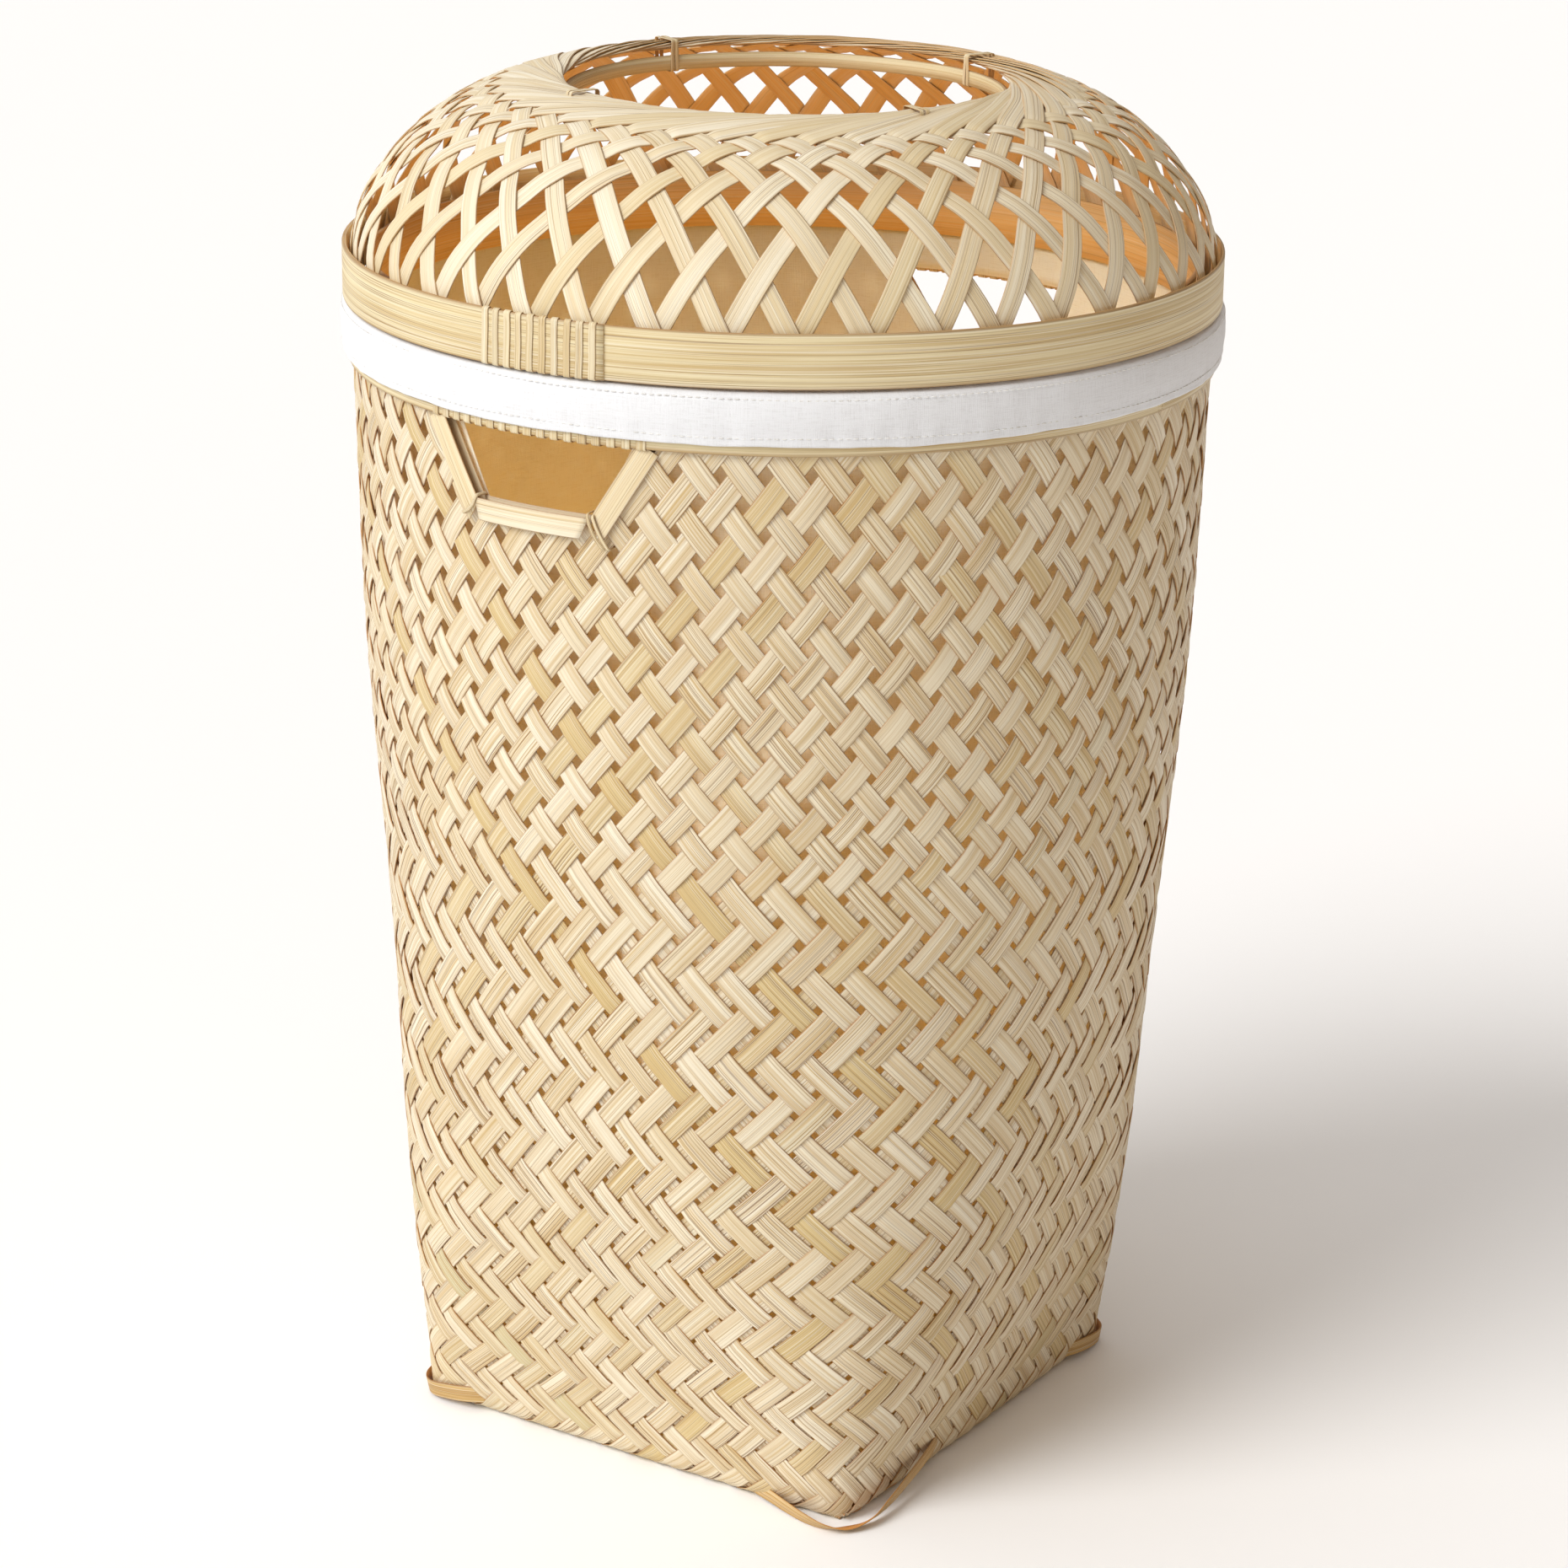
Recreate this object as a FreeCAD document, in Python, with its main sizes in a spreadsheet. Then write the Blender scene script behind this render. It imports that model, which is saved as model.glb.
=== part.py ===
import FreeCAD, Part
import math
import os

import Sketcher

# A lidded laundry basket plaited from bamboo strips, with a cotton liner.
# Frame: millimetres, +Z up, origin on the floor under the middle of the square base.
# The two grip openings face -Y (front) and +Y (back); the base's sides lie along X and Y.
# The basket grows from a rounded square at the floor to a circle at the rim.
# The liner hangs inside and folds over the rim as a cuff; the domed lid rests on the cuff.

doc = FreeCAD.newDocument("LaundryBasket")
sheet = doc.addObject("Spreadsheet::Sheet", "Dimensions")

# Each level of the body is a rounded square: height, half width across the faces,
# radius of the corners and radius of the slightly bowed sides.
LEVELS = {
    "base": (0, 124.6, 8, 6000),
    "foot": (40, 137, 42, 2500),
    "low": (130, 160.5, 105, 900),
    "middle": (260, 182, 168, 400),
    "high": (390, 195, 190, 230),
    "brim": (470, 198.6, 196, 205),
    "shoulder": (520, 200.3, 199, 202.5),
    "rim": (551.4, 200.6, 199, 203),
}

DIMENSIONS = [
    ("wall_thickness", 2.4, "two crossed strips and their waviness"),
    ("hoop_bottom", 525, "lower edge of both rim hoops"),
    ("outer_hoop_inside", 201.1, "rim outer hoop, inner radius"),
    ("outer_hoop_outside", 202.6, "rim outer hoop, outer radius"),
    ("inner_hoop_inside", 195.8, "rim inner hoop, inner radius"),
    ("inner_hoop_outside", 198.0, "rim inner hoop, outer radius"),
    ("wrap_thickness", 0.45, "thin lashing strip"),
    ("wrap_gap", 0.1, "air between a lashing and what it binds"),
    ("grip_wrap_width", 4.4, "lashing strip on the grips"),
    ("grip_wrap_step", 1.96, "degrees from one grip wrap to the next"),
    ("grip_wrap_count", 17, "wraps on each grip"),
    ("opening_bottom", 492, "lower edge of the grip opening"),
    ("opening_top", 524, "upper edge of the grip opening"),
    ("opening_bottom_half", 29.5, "half width of the opening at its lower edge"),
    ("opening_top_half", 50.5, "half width of the opening at its upper edge"),
    ("wrap_slot_half", 60, "half width of the slot that the grip wraps pass through"),
    ("frame_width", 10, "strip that trims the grip opening"),
    ("frame_flare", 12, "the same strip measured level across its sloping legs"),
    ("frame_top", 524.2, "upper ends of the trim's legs"),
    ("outer_frame_inside", 201.0, "outer trim, inner radius"),
    ("outer_frame_outside", 202.3, "outer trim, outer radius"),
    ("inner_frame_inside", 195.7, "inner trim, inner radius"),
    ("inner_frame_outside", 196.5, "inner trim, outer radius"),
    ("tie_width", 4, "strip that ties the two trims together"),
    ("tie_angle", 7.7, "degrees from the middle of the grip to each tie"),
    ("tie_slot_inside", 24.2, "slot for the tie, nearer edge"),
    ("tie_slot_outside", 29.4, "slot for the tie, farther edge"),
    ("tie_slot_bottom", 480.6, "slot for the tie, lower edge"),
    ("trim_stock", 10, "depth of the trim's blank beyond its outside, before it is curved"),
    ("cutter_reach", 40, "how far the trim's outer cutter reaches beyond it"),
    ("cutter_rise", 5, "how far the trim's cutters reach above and below it"),
    ("slot_clearance", 0.2, "air round the strips that pass through slots"),
    ("loop_bottom", 2.8, "corner loops, lower edge"),
    ("loop_height", 5.6, "corner loops, width of the strip"),
    ("loop_thickness", 1.2, "corner loops, thickness of the strip"),
    ("loop_end", 64, "where a corner loop ends inside the wall, along the side"),
    ("loop_entry", 72, "where a corner loop leaves the wall, along the side"),
    ("loop_end_depth", 124, "inner face of the loop's end"),
    ("loop_entry_depth", 126.8, "inner face of the loop where it leaves the wall"),
    ("loop_turn_near", 113.8, "start of the loop's turn, along the side"),
    ("loop_turn_far", 134.6, "start of the loop's turn, away from the side"),
    ("loop_turn_radius", 18, "inner radius of the loop's turn round the corner"),
    ("loop_slot_start", 61, "slot for a loop's end, nearer edge"),
    ("loop_slot_end", 79, "slot for a loop's end, farther edge"),
    ("bag_gap", 0.8, "air between the basket wall and the liner bag"),
    ("bag_thickness", 0.6, "liner bag fabric"),
    ("bag_floor", 3.2, "underside of the liner bag"),
    ("bag_top", 552.2, "top edge of the liner bag"),
    ("bag_mouth", 194.7, "outer radius of the bag inside the rim hoops"),
    ("cutout_bottom", 489, "lower edge of the bag's cut-out at a grip"),
    ("cutout_top", 527, "upper edge of the bag's cut-out at a grip"),
    ("cutout_bottom_half", 28.5, "half width of the cut-out at its lower edge"),
    ("cutout_top_half", 47.5, "half width of the cut-out at its upper edge"),
    ("cuff_bottom", 529, "lower edge of the cuff"),
    ("cuff_top", 553.2, "top of the fold over the rim"),
    ("cuff_inside", 203.6, "cuff, inner radius"),
    ("cuff_outside", 205.4, "cuff, outer radius at its edges"),
    ("cuff_bulge", 206.0, "cuff, outer radius half way up"),
    ("elastic_bottom", 530, "elastic in the cuff's hem, lower edge"),
    ("elastic_height", 3.2, "elastic in the cuff's hem"),
    ("elastic_depth", 0.8, "depth of the channel for the elastic"),
    ("elastic_gap", 0.1, "air at each face of the elastic"),
    ("channel_gap", 0.2, "air above and below the elastic"),
    ("fold_gap", 0.2, "air between the bag's top edge and the fold of the cuff"),
    ("lid_hoop_bottom", 554.2, "lid outer hoop, lower edge"),
    ("lid_hoop_top", 578.6, "lid outer hoop, upper edge"),
    ("lid_hoop_inside", 202.6, "lid outer hoop, inner radius"),
    ("lid_hoop_outside", 205, "lid outer hoop, outer radius"),
    ("lid_ring_bottom", 545, "lid inner hoop, lower edge, inside the basket's mouth"),
    ("lid_ring_top", 573, "lid inner hoop, upper edge"),
    ("lid_ring_inside", 191.4, "lid inner hoop, inner radius"),
    ("lid_ring_outside", 193.8, "lid inner hoop, outer radius"),
    ("lid_wrap_width", 3.6, "lashing strip over the lapped ends of the lid hoop"),
    ("lid_wrap_step", 1.73, "degrees from one lid wrap to the next"),
    ("lid_wrap_count", 10, "wraps over the lapped ends"),
    ("lid_wrap_angle", 1.7, "middle of the lid lashing, degrees towards +X from the front"),
    ("dome_radius", 201.9, "outside of the lid's weave at the hoop"),
    ("dome_thickness", 3, "lid weave"),
    ("dome_bottom", 556, "folded strip ends, lower edge"),
    ("dome_shoulder", 572, "height where the lid starts to turn inwards"),
    ("dome_crown", 655, "top of the lid"),
    ("dome_shoulder_radius", 60, "outer radius of the lid's shoulder"),
    ("hole_radius", 101.5, "edge of the round hole in the lid"),
    ("hole_edge_width", 11, "twisted edge round the hole"),
    ("hole_edge_bottom", 648.6, "underside of the twisted edge"),
    ("skirt_inside", 194.3, "inside of the folded strip ends"),
    ("skirt_top", 567, "top of the folded strip ends"),
    ("hole_hoop_inside", 100.3, "hoop under the hole's edge, inner radius"),
    ("hole_hoop_outside", 102.5, "hoop under the hole's edge, outer radius"),
    ("hole_hoop_bottom", 641, "hoop under the hole's edge, lower edge"),
    ("hole_hoop_top", 648.2, "hoop under the hole's edge, upper edge"),
    ("hole_tie_outside", 114.4, "outer leg of the four ties round the hole's edge"),
    ("hole_tie_top", 656, "top of the four ties"),
    ("hole_tie_width", 4, "strip of the four ties"),
    ("hole_tie_angle", 65, "first tie, degrees towards +X from the front"),
]
for level, (height, half, corner, side) in LEVELS.items():
    DIMENSIONS.append((f"{level}_height", height, f"{level} level, height"))
    DIMENSIONS.append((f"{level}_half", half, f"{level} level, half width"))
    DIMENSIONS.append((f"{level}_corner", corner, f"{level} level, corner radius"))
    DIMENSIONS.append((f"{level}_side", side, f"{level} level, radius of the sides"))

for row, (alias, value, meaning) in enumerate(DIMENSIONS, start=1):
    sheet.set(f"A{row}", meaning)
    sheet.set(f"B{row}", str(value))
    sheet.setAlias(f"B{row}", alias)
doc.recompute()

sub_parts = []


def cell(name):
    return f"Dimensions.{name}"


def number(expression):
    """The value that an expression over the sheet has."""
    result = sheet.evalExpression(expression)
    return float(getattr(result, "Value", result))


def new_body(label):
    body = doc.addObject("PartDesign::Body", label)
    body.Label = label
    body.AllowCompound = True
    sub_parts.append(body)
    return body


def origin_feature(body, role):
    return next(item for item in body.Origin.OriginFeatures if item.Role == role)


def new_sketch(body, plane, name, height=None):
    sketch = body.newObject("Sketcher::SketchObject", name)
    sketch.AttachmentSupport = [(origin_feature(body, plane), "")]
    sketch.MapMode = "FlatFace"
    if height is not None:
        sketch.setExpression("AttachmentOffset.Base.z", height)
    return sketch


def bind(sketch, kind, first, second, expression, flip):
    """A distance constraint that follows an expression; it is measured backwards when flipped."""
    ends = second + first if flip else first + second
    signed = f"-({expression})" if flip else expression
    index = sketch.addConstraint(Sketcher.Constraint(kind, *ends, abs(number(expression))))
    sketch.setExpression(f"Constraints[{index}]", signed)


def pin_point(sketch, point, x, y):
    """Hold one sketch point at x, y; both are expressions."""
    origin = (-1, 1)
    bind(sketch, "DistanceX", origin, point, x, number(x) < 0)
    bind(sketch, "DistanceY", origin, point, y, number(y) < 0)


def outline(sketch, points, arcs=None):
    """A closed outline of lines; arcs maps the index of a segment to its centre and radius."""
    arcs = arcs or {}
    count = len(points)
    first = sketch.GeometryCount
    corners = [FreeCAD.Vector(number(x), number(y), 0) for x, y in points]
    reverse = {}
    for index in range(count):
        start = corners[index]
        end = corners[(index + 1) % count]
        if index in arcs:
            centre = FreeCAD.Vector(number(arcs[index][0]), number(arcs[index][1]), 0)
            start_angle = math.atan2(start.y - centre.y, start.x - centre.x)
            end_angle = math.atan2(end.y - centre.y, end.x - centre.x)
            reverse[index] = (end_angle - start_angle) % (2 * math.pi) > math.pi
            low, high = (end_angle, start_angle) if reverse[index] else (start_angle, end_angle)
            circle = Part.Circle(centre, FreeCAD.Vector(0, 0, 1), (start - centre).Length)
            sketch.addGeometry(Part.ArcOfCircle(circle, low, high))
        else:
            reverse[index] = False
            sketch.addGeometry(Part.LineSegment(start, end))
    for index in range(count):
        following = (index + 1) % count
        tail = 1 if reverse[index] else 2
        head = 2 if reverse[following] else 1
        ends = (first + index, tail, first + following, head)
        sketch.addConstraint(Sketcher.Constraint("Coincident", *ends))
    for index, (x, y) in enumerate(points):
        head = 2 if reverse[index] else 1
        pin_point(sketch, (first + index, head), x, y)
    for index in arcs:
        radius = arcs[index][2]
        constraint = sketch.addConstraint(Sketcher.Constraint("Radius", first + index, number(radius)))
        sketch.setExpression(f"Constraints[{constraint}]", radius)
    return sketch


def rectangle(sketch, left, right, bottom, top):
    return outline(sketch, [(left, bottom), (right, bottom), (right, top), (left, top)])


def rounded_square(body, name, level, inset, height):
    """One level's outline: four bowed sides and four corners, all tangent, drawn inset."""
    half = f"({cell(level + '_half')} - {inset})"
    corner = f"({cell(level + '_corner')} - {inset})"
    side = f"({cell(level + '_side')} - {inset})"
    offset = f"({half} - {side})"
    centre = f"(({offset} + sqrt(2 * ({side} - {corner})^2 - {offset}^2)) / 2)"
    sketch = new_sketch(body, "XY_Plane", name, height)
    middle = number(centre)
    shift = number(offset)
    joint = math.atan2(middle, middle - shift)
    up = FreeCAD.Vector(0, 0, 1)
    for quarter in range(4):
        turn = quarter * math.pi / 2
        cos, sin = math.cos(turn), math.sin(turn)
        side_centre = FreeCAD.Vector(shift * cos, shift * sin, 0)
        corner_centre = FreeCAD.Vector(middle * (cos - sin), middle * (sin + cos), 0)
        side_circle = Part.Circle(side_centre, up, number(side))
        corner_circle = Part.Circle(corner_centre, up, number(corner))
        sketch.addGeometry(Part.ArcOfCircle(side_circle, turn - joint, turn + joint))
        sketch.addGeometry(Part.ArcOfCircle(corner_circle, turn + joint, turn + math.pi / 2 - joint))
    for index in range(8):
        sketch.addConstraint(Sketcher.Constraint("Tangent", index, 2, (index + 1) % 8, 1))
    for first, radius in ((0, side), (1, corner)):
        index = sketch.addConstraint(Sketcher.Constraint("Radius", first, number(radius)))
        sketch.setExpression(f"Constraints[{index}]", radius)
        for other in range(first + 2, 8, 2):
            sketch.addConstraint(Sketcher.Constraint("Equal", first, other))
    for index, (x, y) in zip((1, 3, 5, 7), ((1, 1), (-1, 1), (-1, -1), (1, -1))):
        pin_point(sketch, (index, 3), f"{x} * {centre}", f"{y} * {centre}")
    return sketch


def loft(body, kind, name, sketches):
    feature = body.newObject(f"PartDesign::{kind}", name)
    feature.Profile = sketches[0]
    feature.Sections = sketches[1:]
    return feature


def cut_through(body, sketch, name):
    """Cut a sketch out of everything in front of it and behind it."""
    pocket = body.newObject("PartDesign::Pocket", name)
    pocket.Profile = sketch
    pocket.Type = "ThroughAll"
    pocket.Midplane = True
    return pocket


def turned(label, points, arcs=None):
    """A ring: an outline of radius and height turned about the basket's axis."""
    body = new_body(label)
    sketch = outline(new_sketch(body, "XZ_Plane", label + "_profile"), points, arcs)
    turn = body.newObject("PartDesign::Revolution", label + "_turn")
    turn.Profile = sketch
    turn.ReferenceAxis = (sketch, ["V_Axis"])
    turn.Angle = 360
    return body


def hoop(label, inside, outside, bottom, top):
    corners = [(inside, bottom), (outside, bottom), (outside, top), (inside, top)]
    return turned(label, [(cell(radius), cell(height)) for radius, height in corners])


def wraps(label, inside, outside, bottom, top, width, middle_angle, count=None, step=None):
    """Flat rings of thin strip bound round a rim that runs from inside to outside and bottom to top.

    middle_angle is in degrees from the front, towards +X.
    """
    gap = cell("wrap_gap")
    reach = f"({gap} + {cell('wrap_thickness')})"
    body = new_body(label)
    sketch = new_sketch(body, "YZ_Plane", label + "_profile")
    for grow in (reach, gap):
        left, right = f"{inside} - {grow}", f"{outside} + {grow}"
        rectangle(sketch, left, right, f"{bottom} - {grow}", f"{top} + {grow}")
    pad = body.newObject("PartDesign::Pad", label + "_strip")
    pad.Profile = sketch
    pad.setExpression("Length", cell(width))
    pad.Midplane = True
    span = 0
    if count:
        pattern = body.newObject("PartDesign::PolarPattern", label + "_wraps")
        pattern.Originals = [pad]
        pattern.Axis = (origin_feature(body, "Z_Axis"), [""])
        pattern.setExpression("Angle", f"{cell(step)} * ({cell(count)} - 1)")
        pattern.setExpression("Occurrences", cell(count))
        body.Tip = pattern
        span = number(f"{cell(step)} * ({cell(count)} - 1)")
    axis = FreeCAD.Vector(0, 0, 1)
    turn = FreeCAD.Rotation(axis, 180 + middle_angle - span / 2)
    body.Placement = FreeCAD.Placement(FreeCAD.Vector(), turn)
    return body


# ---------------------------------------------------------------- woven basket
woven_body = new_body("woven_body")
skins = (("AdditiveLoft", "outer", "0"), ("SubtractiveLoft", "inner", cell("wall_thickness")))
for kind, skin, inset in skins:
    sections = []
    for level in LEVELS:
        height = f"{cell(level + '_height')}"
        if level == "base":
            height = f"{height} + {inset}"
        sections.append(rounded_square(woven_body, f"basket_{skin}_{level}", level, inset, height))
    loft(woven_body, kind, f"basket_{skin}", sections)

opening = new_sketch(woven_body, "XZ_Plane", "grip_opening")
slot_top = f"{cell('hoop_bottom')} - {cell('wrap_gap')}"
outline(opening, [
    (f"-{cell('wrap_slot_half')}", cell("opening_top")),
    (f"-{cell('opening_top_half')}", cell("opening_top")),
    (f"-{cell('opening_bottom_half')}", cell("opening_bottom")),
    (cell("opening_bottom_half"), cell("opening_bottom")),
    (cell("opening_top_half"), cell("opening_top")),
    (cell("wrap_slot_half"), cell("opening_top")),
    (cell("wrap_slot_half"), slot_top),
    (f"-{cell('wrap_slot_half')}", slot_top),
])
cut_through(woven_body, opening, "grip_openings")

tie_slots = new_sketch(woven_body, "XZ_Plane", "tie_slot_outline")
frame_bottom = f"({cell('opening_bottom')} - {cell('frame_width')})"
tie_sides = ((1, "tie_slot_inside", "tie_slot_outside"), (-1, "tie_slot_outside", "tie_slot_inside"))
for sign, near, far in tie_sides:
    left, right = f"{sign} * {cell(near)}", f"{sign} * {cell(far)}"
    rectangle(tie_slots, left, right, cell("tie_slot_bottom"), frame_bottom)
cut_through(woven_body, tie_slots, "tie_slots")

for plane in ("XZ_Plane", "YZ_Plane"):
    slots = new_sketch(woven_body, plane, f"loop_slot_outline_{plane[:2]}")
    clearance = cell("slot_clearance")
    low = f"{cell('loop_bottom')} - {clearance}"
    high = f"{cell('loop_bottom')} + {cell('loop_height')} + {clearance}"
    loop_sides = ((1, "loop_slot_start", "loop_slot_end"), (-1, "loop_slot_end", "loop_slot_start"))
    for sign, near, far in loop_sides:
        rectangle(slots, f"{sign} * {cell(near)}", f"{sign} * {cell(far)}", low, high)
    cut_through(woven_body, slots, f"loop_slots_{plane[:2]}")

hoop("rim_outer_hoop", "outer_hoop_inside", "outer_hoop_outside", "hoop_bottom", "rim_height")
hoop("rim_inner_hoop", "inner_hoop_inside", "inner_hoop_outside", "hoop_bottom", "rim_height")

FRONT, BACK = 0, 180
for side, angle in (("front", FRONT), ("back", BACK)):
    wraps(
        f"{side}_grip_lashing", cell("inner_hoop_inside"), cell("outer_hoop_outside"),
        cell("hoop_bottom"), cell("rim_height"), "grip_wrap_width", angle,
        "grip_wrap_count", "grip_wrap_step",
    )


def grip_trim(label, inside, outside, angle):
    """A strip folded round three sides of the grip opening, curved to the wall."""
    body = new_body(label)
    sketch = new_sketch(body, "XZ_Plane", label + "_outline")
    slope = (
        f"(({cell('opening_top_half')} - {cell('opening_bottom_half')})"
        f" / ({cell('opening_top')} - {cell('opening_bottom')}))"
    )
    half = cell("opening_bottom_half")
    top_half = f"({half} + {slope} * ({cell('frame_top')} - {cell('opening_bottom')}))"
    bottom_half = f"({half} - {slope} * {cell('frame_width')} + {cell('frame_flare')})"
    outer_top = f"({top_half} + {cell('frame_flare')})"
    outline(sketch, [
        (f"-{outer_top}", cell("frame_top")),
        (f"-{bottom_half}", frame_bottom),
        (bottom_half, frame_bottom),
        (outer_top, cell("frame_top")),
        (top_half, cell("frame_top")),
        (half, cell("opening_bottom")),
        (f"-{half}", cell("opening_bottom")),
        (f"-{top_half}", cell("frame_top")),
    ])
    pad = body.newObject("PartDesign::Pad", label + "_strip")
    pad.Profile = sketch
    pad.setExpression("Length", f"{cell(outside)} + {cell('trim_stock')}")
    beyond = f"{cell(outside)} + {cell('cutter_reach')}"
    rise = cell("cutter_rise")
    for name, near, far in (("inside", "0", cell(inside)), ("outside", cell(outside), beyond)):
        curve = new_sketch(body, "XZ_Plane", f"{label}_{name}_profile")
        rectangle(curve, near, far, f"{frame_bottom} - {rise}", f"{cell('frame_top')} + {rise}")
        groove = body.newObject("PartDesign::Groove", f"{label}_{name}_curve")
        groove.Profile = curve
        groove.ReferenceAxis = (curve, ["V_Axis"])
        groove.Angle = 360
    doc.recompute()
    faces_front = body.Shape.BoundBox.Center.y < 0
    turn = angle if faces_front else angle + 180
    body.Placement = FreeCAD.Placement(FreeCAD.Vector(), FreeCAD.Rotation(FreeCAD.Vector(0, 0, 1), turn))
    return body


for side, angle in (("front", FRONT), ("back", BACK)):
    grip_trim(f"{side}_grip_outer_trim", "outer_frame_inside", "outer_frame_outside", angle)
    grip_trim(f"{side}_grip_inner_trim", "inner_frame_inside", "inner_frame_outside", angle)
    for hand, sign in (("left", -1), ("right", 1)):
        turn = sign if side == "front" else -sign
        wraps(
            f"{side}_{hand}_trim_tie", cell("inner_frame_inside"), cell("outer_frame_outside"),
            frame_bottom, cell("opening_bottom"), "tie_width",
            angle + turn * number(cell("tie_angle")),
        )


def corner_loop(label, quarter):
    """A strip that leaves the wall beside a bottom corner, rounds the corner and goes back in."""
    body = new_body(label)
    sketch = new_sketch(body, "XY_Plane", label + "_outline", cell("loop_bottom"))
    thick = cell("loop_thickness")
    inner = [
        (cell("loop_end"), cell("loop_end_depth")),
        (cell("loop_entry"), cell("loop_entry_depth")),
        (cell("loop_turn_near"), cell("loop_turn_far")),
    ]
    outer = [(x, f"({y} + {thick})") for x, y in inner]
    points = outer + [(y, x) for x, y in reversed(outer)] + [(y, x) for x, y in inner] + inner[::-1]
    chord = f"({cell('loop_turn_far')} - {cell('loop_turn_near')}) / sqrt(2)"
    inner_radius = cell("loop_turn_radius")
    outer_radius = f"({inner_radius} + {thick})"
    inner_centre = (
        f"(({cell('loop_turn_near')} + {cell('loop_turn_far')}) / 2"
        f" - sqrt({inner_radius}^2 - ({chord})^2) / sqrt(2))"
    )
    outer_chord = f"({cell('loop_turn_far')} + {thick} - {cell('loop_turn_near')}) / sqrt(2)"
    outer_centre = (
        f"(({cell('loop_turn_near')} + {cell('loop_turn_far')} + {thick}) / 2"
        f" - sqrt({outer_radius}^2 - ({outer_chord})^2) / sqrt(2))"
    )
    outline(sketch, points, {
        2: (outer_centre, outer_centre, outer_radius),
        8: (inner_centre, inner_centre, inner_radius),
    })
    pad = body.newObject("PartDesign::Pad", label + "_strip")
    pad.Profile = sketch
    pad.setExpression("Length", cell("loop_height"))
    body.Placement = FreeCAD.Placement(
        FreeCAD.Vector(), FreeCAD.Rotation(FreeCAD.Vector(0, 0, 1), 90 * quarter)
    )
    return body


for quarter, place in enumerate(("back_right", "back_left", "front_left", "front_right")):
    corner_loop(f"{place}_corner_loop", quarter)


# ---------------------------------------------------------------- cotton liner
liner_bag = new_body("liner_bag")
bag_sections = {"outer": [], "inner": []}
for skin, extra in (("outer", "0"), ("inner", cell("bag_thickness"))):
    for level in LEVELS:
        inset = f"({cell('wall_thickness')} + {cell('bag_gap')} + {extra})"
        height = cell(level + "_height")
        if level == "base":
            height = f"{cell('bag_floor')} + {extra}"
        if level in ("brim", "shoulder", "rim"):
            inset = f"({cell(level + '_half')} - {cell('bag_mouth')} + {extra})"
        if level == "rim":
            height = cell("bag_top")
        sketch = rounded_square(liner_bag, f"bag_{skin}_{level}", level, inset, height)
        bag_sections[skin].append(sketch)
    kind = "AdditiveLoft" if skin == "outer" else "SubtractiveLoft"
    bag_skin = loft(liner_bag, kind, f"bag_{skin}", bag_sections[skin])
    bag_skin.Ruled = True

cutout = new_sketch(liner_bag, "XZ_Plane", "grip_cutout")
outline(cutout, [
    (f"-{cell('cutout_top_half')}", cell("cutout_top")),
    (f"-{cell('cutout_bottom_half')}", cell("cutout_bottom")),
    (cell("cutout_bottom_half"), cell("cutout_bottom")),
    (cell("cutout_top_half"), cell("cutout_top")),
])
cut_through(liner_bag, cutout, "grip_cutouts")

bag_inside = f"({cell('bag_mouth')} - {cell('bag_thickness')})"
fold_bottom = f"({cell('bag_top')} + {cell('fold_gap')})"
channel = f"({cell('cuff_inside')} + {cell('elastic_depth')})"
elastic_top = f"({cell('elastic_bottom')} + {cell('elastic_height')})"
channel_top = f"({elastic_top} + {cell('channel_gap')})"
channel_bottom = f"({cell('elastic_bottom')} - {cell('channel_gap')})"
elastic_inside = f"({cell('cuff_inside')} + {cell('elastic_gap')})"
elastic_outside = f"({channel} - {cell('elastic_gap')})"
turned("liner_cuff", [
    (bag_inside, fold_bottom),
    (cell("cuff_inside"), fold_bottom),
    (cell("cuff_inside"), channel_top),
    (channel, channel_top),
    (channel, channel_bottom),
    (cell("cuff_inside"), channel_bottom),
    (cell("cuff_inside"), cell("cuff_bottom")),
    (cell("cuff_outside"), cell("cuff_bottom")),
    (cell("cuff_bulge"), f"({cell('cuff_bottom')} + {cell('cuff_top')}) / 2"),
    (cell("cuff_outside"), cell("cuff_top")),
    (bag_inside, cell("cuff_top")),
])
turned("cuff_elastic", [
    (elastic_inside, cell("elastic_bottom")),
    (elastic_outside, cell("elastic_bottom")),
    (elastic_outside, elastic_top),
    (elastic_inside, elastic_top),
])


# ---------------------------------------------------------------- domed lid
rise = f"({cell('dome_crown')} - {cell('dome_shoulder')})"
reach = f"({cell('dome_radius')} - {cell('hole_radius')})"
shoulder = cell("dome_shoulder_radius")
crown = f"(({reach}^2 + {rise}^2 - 2 * {reach} * {shoulder}) / (2 * {rise} - 2 * {shoulder}))"
shoulder_x = f"({cell('dome_radius')} - {shoulder})"
shoulder_z = cell("dome_shoulder")
crown_x = cell("hole_radius")
crown_z = f"({cell('dome_crown')} - {crown})"
ratio = f"({crown} / ({crown} - {shoulder}))"
joint_x = f"({crown_x} + {ratio} * ({shoulder_x} - {crown_x}))"
joint_z = f"({crown_z} + {ratio} * ({shoulder_z} - {crown_z}))"
thickness = cell("dome_thickness")
inner_ratio = f"(({crown} - {thickness}) / ({crown} - {shoulder}))"
inner_joint_x = f"({crown_x} + {inner_ratio} * ({shoulder_x} - {crown_x}))"
inner_joint_z = f"({crown_z} + {inner_ratio} * ({shoulder_z} - {crown_z}))"
edge_x = f"({cell('hole_radius')} + {cell('hole_edge_width')})"
edge_z = f"({crown_z} + sqrt(({crown} - {thickness})^2 - {cell('hole_edge_width')}^2))"

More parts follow.
